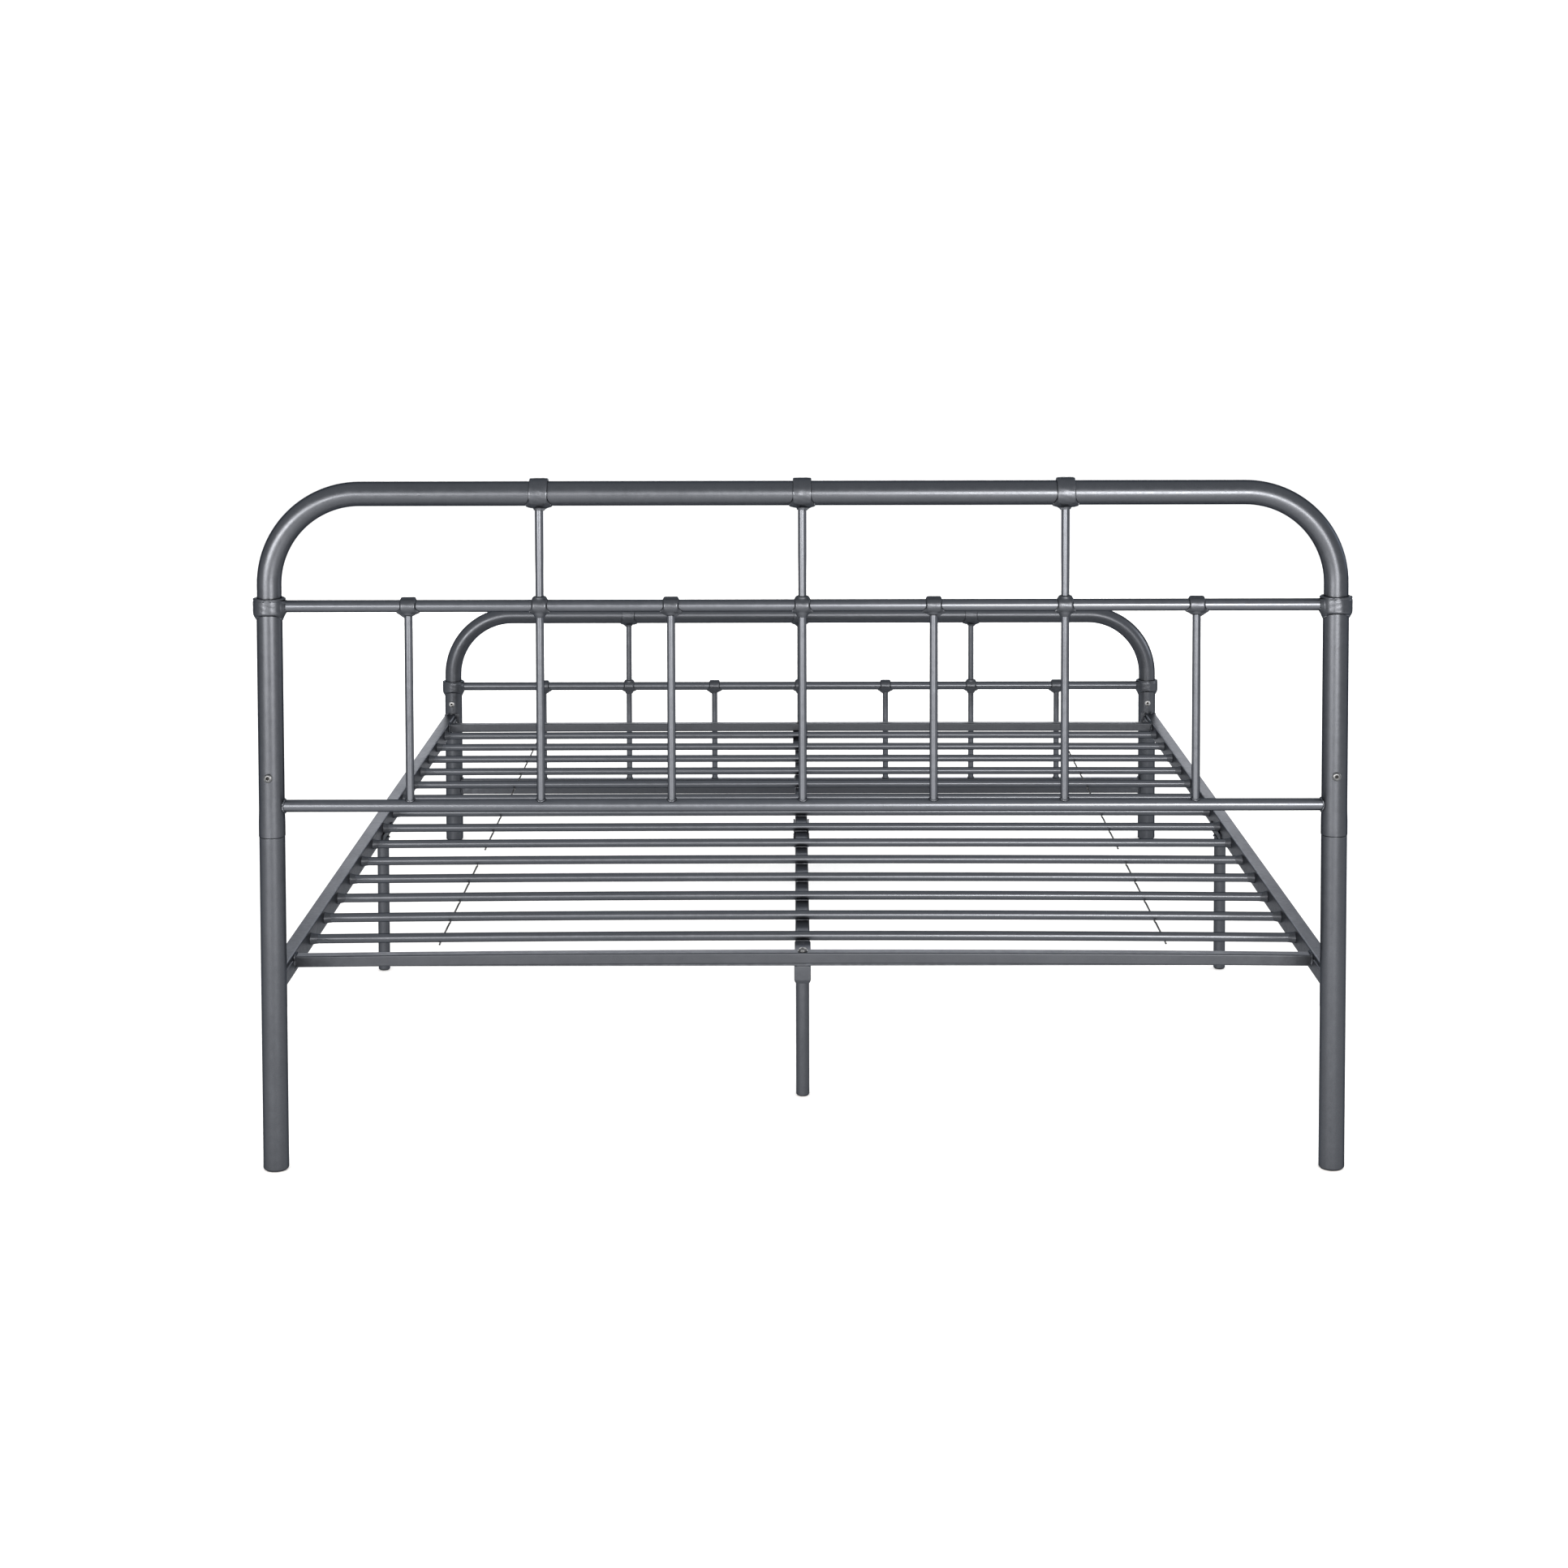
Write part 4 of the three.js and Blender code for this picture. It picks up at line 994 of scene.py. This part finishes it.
# ---- crossbars
for name, yc, seed in (("head", CROSS_HEAD_Y, 300), ("foot", CROSS_FOOT_Y, 310)):
    g = Geo()
    e = SIDE_IN - 0.15
    box_tube(g, (yc, SIDE_TOP - CROSS_H / 2), (CROSS_D, CROSS_H), (-e, e), "x", 1.9, WALL, 10, 0.3)
    base = rrect(CROSS_D + 0.3, CROSS_H + 0.3, 2.0, 6)
    sec = []
    for i in range(len(base)):
        a, b = base[i], base[(i + 1) % len(base)]
        k = max(1, int(np.linalg.norm(b - a) / 0.9))
        sec += [a + (b - a) * j / k for j in range(k)]
    sec = np.array(sec)
    # crossbar-end welds take the darker weld coat: painted shade in the corner against the side rails
    start = g.n
    for s in (-1, 1):
        p = np.stack([np.full(len(sec), s * (e - 0.6)), yc + sec[:, 0], SIDE_TOP - CROSS_H / 2 + sec[:, 1]], 1)
        outw = np.stack([-s * 0.6 * np.ones(len(sec)), sec[:, 0] / 10, sec[:, 1] / 7.5], 1)
        bead(g, p, 2.0, seed + s, outw, 12, 0.14, 4.2)
    g.bow(CROSS_SAG[name])
    piece(f"crossbar_tube_{name}", g, "rail_coat", [f"crossbar_{name}"], [("rail_coat", 0), ("weld_coat_painted_shade", start)])
    g = Geo()
    socket_bolt(g, (0, yc, SIDE_TOP), (0, 0, 1), 1.0, 10.0, washer=True)
    piece(f"crossbar_bolt_{name}", g, "bolt_zinc")

def weld_flare(geo, x, y, z, s, seed, r=SLAT_R - 0.2, reach=12.0, grow=2.3, sides=40):
    """Soft fillet weld that swells round a slat's end against the rail."""
    rng = np.random.default_rng(seed)
    a = TAU * np.arange(sides) / sides
    rim = 1 + sum(rng.uniform(-0.16, 0.16) * np.sin(k * a + rng.uniform(0, TAU)) for k in (1, 2, 3, 5))
    long = 1 + sum(rng.uniform(-0.15, 0.15) * np.sin(k * a + rng.uniform(0, TAU)) for k in (1, 2, 4))
    rings = []
    for t in (0.0, 0.25, 0.45, 0.62, 0.76, 0.88, 0.96, 1.0):
        rr = r + grow * rim * (0.12 * (t > 0) + 0.88 * t ** 1.7) - (0.35 if t == 1.0 else 0)
        rings.append(np.stack([x - s * reach * long * (1 - t), y + rr * np.cos(a), z + rr * np.sin(a)], 1))
    return loft(geo, rings, False)


# ---- slats, each welded into the side rails
for i in range(14):
    g = Geo()
    yy = slat_y(i)
    turned(g, pipe_profile(SLAT_R, SLAT_BORE, -SLAT_END, SLAT_END, 0.3, 10), (0, yy, SLAT_Z), (1, 0, 0), 40)
    # slat-end weld flares take the darker weld coat: painted shade where each slat meets the rail
    start = g.n
    for s in (-1, 1):
        weld_flare(g, s * (SIDE_IN + 0.4), yy, SLAT_Z, s, 400 + 2 * i + s)
    g.bow(SLAT_SAG[i])
    piece(f"slat_tube_{i + 1:02d}", g, "slat_coat", [f"slat_{i + 1:02d}"], [("slat_coat", 0), ("weld_coat_painted_shade", start)])

# ---- tie wires
for tag, s in (("left", -1), ("right", 1)):
    for part, i0, i1 in (("head", 0, 4), ("foot", 5, 13)):
        pts = []
        runs = [SLAT_Z - drop(SLAT_SAG[i], WIRE_X) - SLAT_R - WIRE_R - 0.45 for i in range(14)]
        for i in range(i0, i1 + 1):
            yy = slat_y(i)
            run, dip = runs[i], runs[i] - 1.1
            prof = [(-9.0, 0.0), (-7.0, 0.1), (-5.2, 0.42), (-3.4, 0.78), (-1.6, 0.97), (0.0, 1.0)]
            left = prof if i > i0 else [q for q in prof if q[0] >= -5.3]
            right = [(-a, b) for a, b in prof[::-1]][1:]
            right = right if i < i1 else [q for q in right if q[0] <= 5.3]
            for dy, w in left + right:
                pts.append((s * WIRE_X, yy + dy, run + (dip - run) * w))
            if i < i1:
                for k in (0.25, 0.5, 0.75):
                    yy2 = yy + 9 + (SLAT_PITCH - 18) * k
                    pts.append((s * WIRE_X, yy2, run + (runs[i + 1] - run) * k))
        pts = np.array(pts)
        tan = np.gradient(pts, axis=0)
        rad = [WIRE_R * 0.8] + [WIRE_R + 0.2] * (len(pts) - 2) + [WIRE_R * 0.8]
        g = Geo()
        swept(g, pts, tan, rad, sides=14, normal=(1, 0, 0))
        piece(f"tie_wire_bent_{tag}_{part}", g, "wire_coat", [f"tie_wire_{tag}_{part}"])

# ---- centre beam
w = BEAM_W / 2
bz = (BEAM_TOP + BEAM_BOT) / 2
g = Geo()
box_tube(g, (0, bz), (BEAM_W, BEAM_W), (-772, SPLICE_Y - 0.3), "y", 2.2, WALL, 6, 0.35)
plate(g, rounded([(-11, CROSS_HEAD_Y - 9), (11, CROSS_HEAD_Y - 9), (11, -742), (10, -736), (-10, -736), (-11, -742)], [6, 6, 2, 2, 2, 2], 5), BEAM_TOP - 0.1, BEAM_TOP + 3, "z", 0.4)
piece("centre_beam_tube_head", g, "rail_coat", ["centre_beam_head_half"])
g = Geo()
y_end = CROSS_FOOT_Y - CROSS_D / 2 - 2
box_tube(g, (0, bz), (BEAM_W, BEAM_W), (SPLICE_Y, y_end), "y", 2.2, WALL, 6, 0.35)
box_tube(g, (0, bz), (BEAM_W - 2 * WALL - 0.6, BEAM_W - 2 * WALL - 0.6), (SPLICE_Y - 60, SPLICE_Y + 5), "y", 1.0, WALL, 1, 0.3)
# folded sleeve round the splice: a channel with flared ends
rings = []
for pos, fl in ((SPLICE_Y, 0.9), (SPLICE_Y + 3, 0.5), (SPLICE_Y + 8, 0), (60, 0), (64, 0.5), (66, 0.9)):
    o = [(-12.1 - fl, BEAM_TOP + 0.1), (-12.1 - fl, BEAM_BOT - 2.6 - 0.3 * fl), (12.1 + fl, BEAM_BOT - 2.6 - 0.3 * fl), (12.1 + fl, BEAM_TOP + 0.1),
         (10.2 + fl, BEAM_TOP + 0.1), (10.2 + fl, BEAM_BOT - 0.3), (-10.2 - fl, BEAM_BOT - 0.3), (-10.2 - fl, BEAM_TOP + 0.1)]
    o = rounded(o, [0.5, 2.6, 2.6, 0.5, 0.5, 0.8, 0.8, 0.5], 4)
    rings.append(np.stack([o[:, 0], np.full(len(o), float(pos)), o[:, 1]], 1))
loft(g, rings, False)
plate(g, rounded([(-14, 690), (14, 690), (14, y_end), (-14, y_end)], [3, 3, 1, 1], 5), BEAM_TOP - 3, BEAM_TOP + 0.05, "z", 0.4)
plate(g, rounded([(-14, slat_y(13) + 11), (14, slat_y(13) + 11), (14, CROSS_FOOT_Y + 9), (-14, CROSS_FOOT_Y + 9)], [2, 2, 6, 6], 5), BEAM_TOP - 0.1, BEAM_TOP + 3, "z", 0.4)
piece("centre_beam_tube_foot", g, "rail_coat", ["centre_beam_foot_half"])
g = Geo()
for yb in (-750.0,):
    socket_bolt(g, (0, yb, BEAM_TOP + 1.2), (0, 0, 1), 0.8, 6.0)
piece("beam_screws", g, "rail_coat")

# ---- centre legs
for name, y in (("head", -LEG_Y), ("foot", LEG_Y)):
    g = Geo()
    pts = [[0.8, 0], [7.6, 0], [LEG_R, 1.8], [LEG_R, 166.5], [LEG_R - 1.3, 166.5], [LEG_R - 1.3, 3], [0.8, 3]]
    turned(g, rounded(pts, [0, 0.8, 1.6, 0.3, 0, 0, 0], 4), (0, y, 0), (0, 0, 1), 48)
    # rectangular socket block over the top of the leg
    rings = []
    for z, hw, c in ((162.2, 9.6, 3.4), (163.6, 10.4, 2.4), (166.4, 11.5, 1.8), (168.0, 11.7, 1.6), (185.8, 11.7, 1.6), (186.9, 11.3, 1.5), (187.4, 10.7, 1.4)):
        sec = rrect(2 * hw, 2 * hw, c, 5)
        rings.append(np.stack([sec[:, 0], y + sec[:, 1], np.full(len(sec), z)], 1))
    loft(g, rings, False)
    turned(g, rounded([[6, 187.2], [6, BEAM_BOT - 0.3]], 0, 1, closed=False), (0, y, 0), (0, 0, 1), 36, wrap=False)
    turned(g, rounded([[9.3, 187.2], [9.3, 189.6], [8.2, 190.4]], [0, 0.4, 0], 2, closed=False), (0, y, 0), (0, 0, 1), 36, wrap=False)
    piece(f"centre_leg_tube_{name}", g, "leg_coat", [f"centre_leg_{name}"])

# ---- mid-length legs with their saddles
for tag, s in (("left", -1), ("right", 1)):
    top = SIDE_TOP - SIDE_H - 0.3 - 3
    g = Geo()
    pts = [[0.8, 0], [7.7, 0], [MID_LEG_R, 1.8], [MID_LEG_R, top + 0.2], [MID_LEG_R - 1.3, top + 0.2], [MID_LEG_R - 1.3, 3], [0.8, 3]]
    turned(g, rounded(pts, [0, 0.8, 1.6, 0.2, 0, 0, 0], 4), (s * POST_X, MID_LEG_Y, 0), (0, 0, 1), 48)
    xs = sorted((s * 681.7, s * 704.5))
    y0, y1 = MID_LEG_Y - 52, MID_LEG_Y + 58
    plate(g, rounded([(xs[0], y0), (xs[1], y0), (xs[1], y1), (xs[0], y1)], 5.0, 6), top, top + 3, "z", 0.4)
    xf = sorted((s * 681.7, s * 684.2))
    fl = rounded([(y0, top), (y1, top), (y1, 234.5), (y0, 234.5)], [2, 6, 9.5, 9.5], 8)
    plate(g, fl, xf[0], xf[1], "x", 0.4)
    a = TAU * np.arange(64) / 64
    p = np.stack([s * POST_X + (MID_LEG_R + 0.3) * np.cos(a), MID_LEG_Y + (MID_LEG_R + 0.3) * np.sin(a), np.full(64, top - 0.6)], 1)
    bead(g, p, 1.4, 500 + s, np.stack([np.cos(a), np.sin(a), -0.7 * np.ones(64)], 1), 8, 0.25, 2.8)
    piece(f"mid_leg_tube_{tag}", g, "leg_coat", [f"mid_leg_{tag}"])

# every CAD node is replaced above; give each its finish as well
for n, o in frame["nodes"].items():
    slot = next((p["material_slot"] for p in frame["record"].get("subparts", []) if p.get("node") == n), "tube_coat")
    if o.data.materials:
        o.data.materials[0] = MAT[slot]
    else:
        o.data.materials.append(MAT[slot])

# ------------------------------------------------------------------- stage
bpy.ops.mesh.primitive_grid_add(x_subdivisions=8, y_subdivisions=8, size=60, location=(0, 0, -0.0006))
floor = bpy.context.active_object
floor.name = "studio_floor"
fl = Shade("studio_floor")
fl.b.inputs["Metallic"].default_value = 0.0
fl.b.inputs["Specular IOR Level"].default_value = 0.1
fl.link(fl.mix(fl.remap(fl.noise(3.0, 3.0), 0.3, 0.7, 0.0, 1.0), (0.93, 0.93, 0.93), (0.95, 0.95, 0.95)), fl.b.inputs["Base Color"])
fl.link(fl.remap(fl.noise(8.0, 3.0), 0.3, 0.7, 0.75, 0.85), fl.b.inputs["Roughness"])
floor.data.materials.append(fl.m)

# ------------------------------------------------------------------ lights
scene = bpy.context.scene
scene.view_settings.view_transform = "Standard"
scene.view_settings.look = "None"
world = bpy.data.worlds.new("studio")
scene.world = world
world.use_nodes = True
bg = world.node_tree.nodes["Background"]
bg.inputs["Color"].default_value = (0.985, 0.99, 1.0, 1.0)
bg.inputs["Strength"].default_value = 1.12


def softbox(name, at, look, size, power, colour=(1, 1, 1), spread=180):
    d = bpy.data.lights.new(name, "AREA")
    d.shape = "RECTANGLE"
    d.size, d.size_y = size
    d.energy = power
    d.color = colour
    d.spread = math.radians(spread)
    o = bpy.data.objects.new(name, d)
    o.location = at
    o.rotation_euler = (Vector(look) - Vector(at)).to_track_quat("-Z", "Y").to_euler()
    bpy.context.scene.collection.objects.link(o)
    o.visible_camera = False
    return o


WARM = (1.0, 0.95, 0.89)
softbox("key_left", (-2.36, -4.10, 0.97), (-0.1, -0.6, 0.85), (1.6, 0.5), 119, WARM)
softbox("key_left_inner", (-1.22, -4.10, 0.99), (-0.3, -0.6, 0.87), (0.9, 0.3), 23, WARM)
softbox("key_right", (0.80, -3.70, 0.97), (0.1, -0.6, 0.86), (1.06, 0.5), 98, WARM)
softbox("back_wide", (0.0, 5.2, 1.6), (0, 0, 0.2), (3.6, 1.2), 100, (1.0, 0.97, 0.94))
softbox("side_right", (3.6, 0.6, 1.4), (0, 0, 0.3), (1.2, 1.4), 30)

# ------------------------------------------------------------------ camera
CAM = dict(at=(-9.3, -4600.1, 1247.6), yaw=0.216, pitch=3.156, roll=-0.138, lens=64.769, shift=-0.265)
yaw, pit, rol = (math.radians(CAM[k]) for k in ("yaw", "pitch", "roll"))
right = np.array([math.cos(yaw), math.sin(yaw), 0])
fwd0 = np.array([-math.sin(yaw), math.cos(yaw), 0])
zed = np.array([0, 0, 1.0])
fwd = fwd0 * math.cos(pit) - zed * math.sin(pit)
up = zed * math.cos(pit) + fwd0 * math.sin(pit)
r2 = right * math.cos(rol) + up * math.sin(rol)
u2 = up * math.cos(rol) - right * math.sin(rol)
cam_data = bpy.data.cameras.new("camera")
cam_data.sensor_width = 36.0
cam_data.lens = CAM["lens"]
cam_data.shift_x, cam_data.shift_y = 0.0, CAM["shift"]
cam_data.clip_start, cam_data.clip_end = 0.05, 100.0
cam = bpy.data.objects.new("camera", cam_data)
scene.collection.objects.link(cam)
mat = Matrix.Identity(4)
for i, axis in enumerate((r2, u2, -fwd)):
    for j in range(3):
        mat[j][i] = float(axis[j])
for j in range(3):
    mat[j][3] = CAM["at"][j] * MM
cam.matrix_world = mat
scene.camera = cam
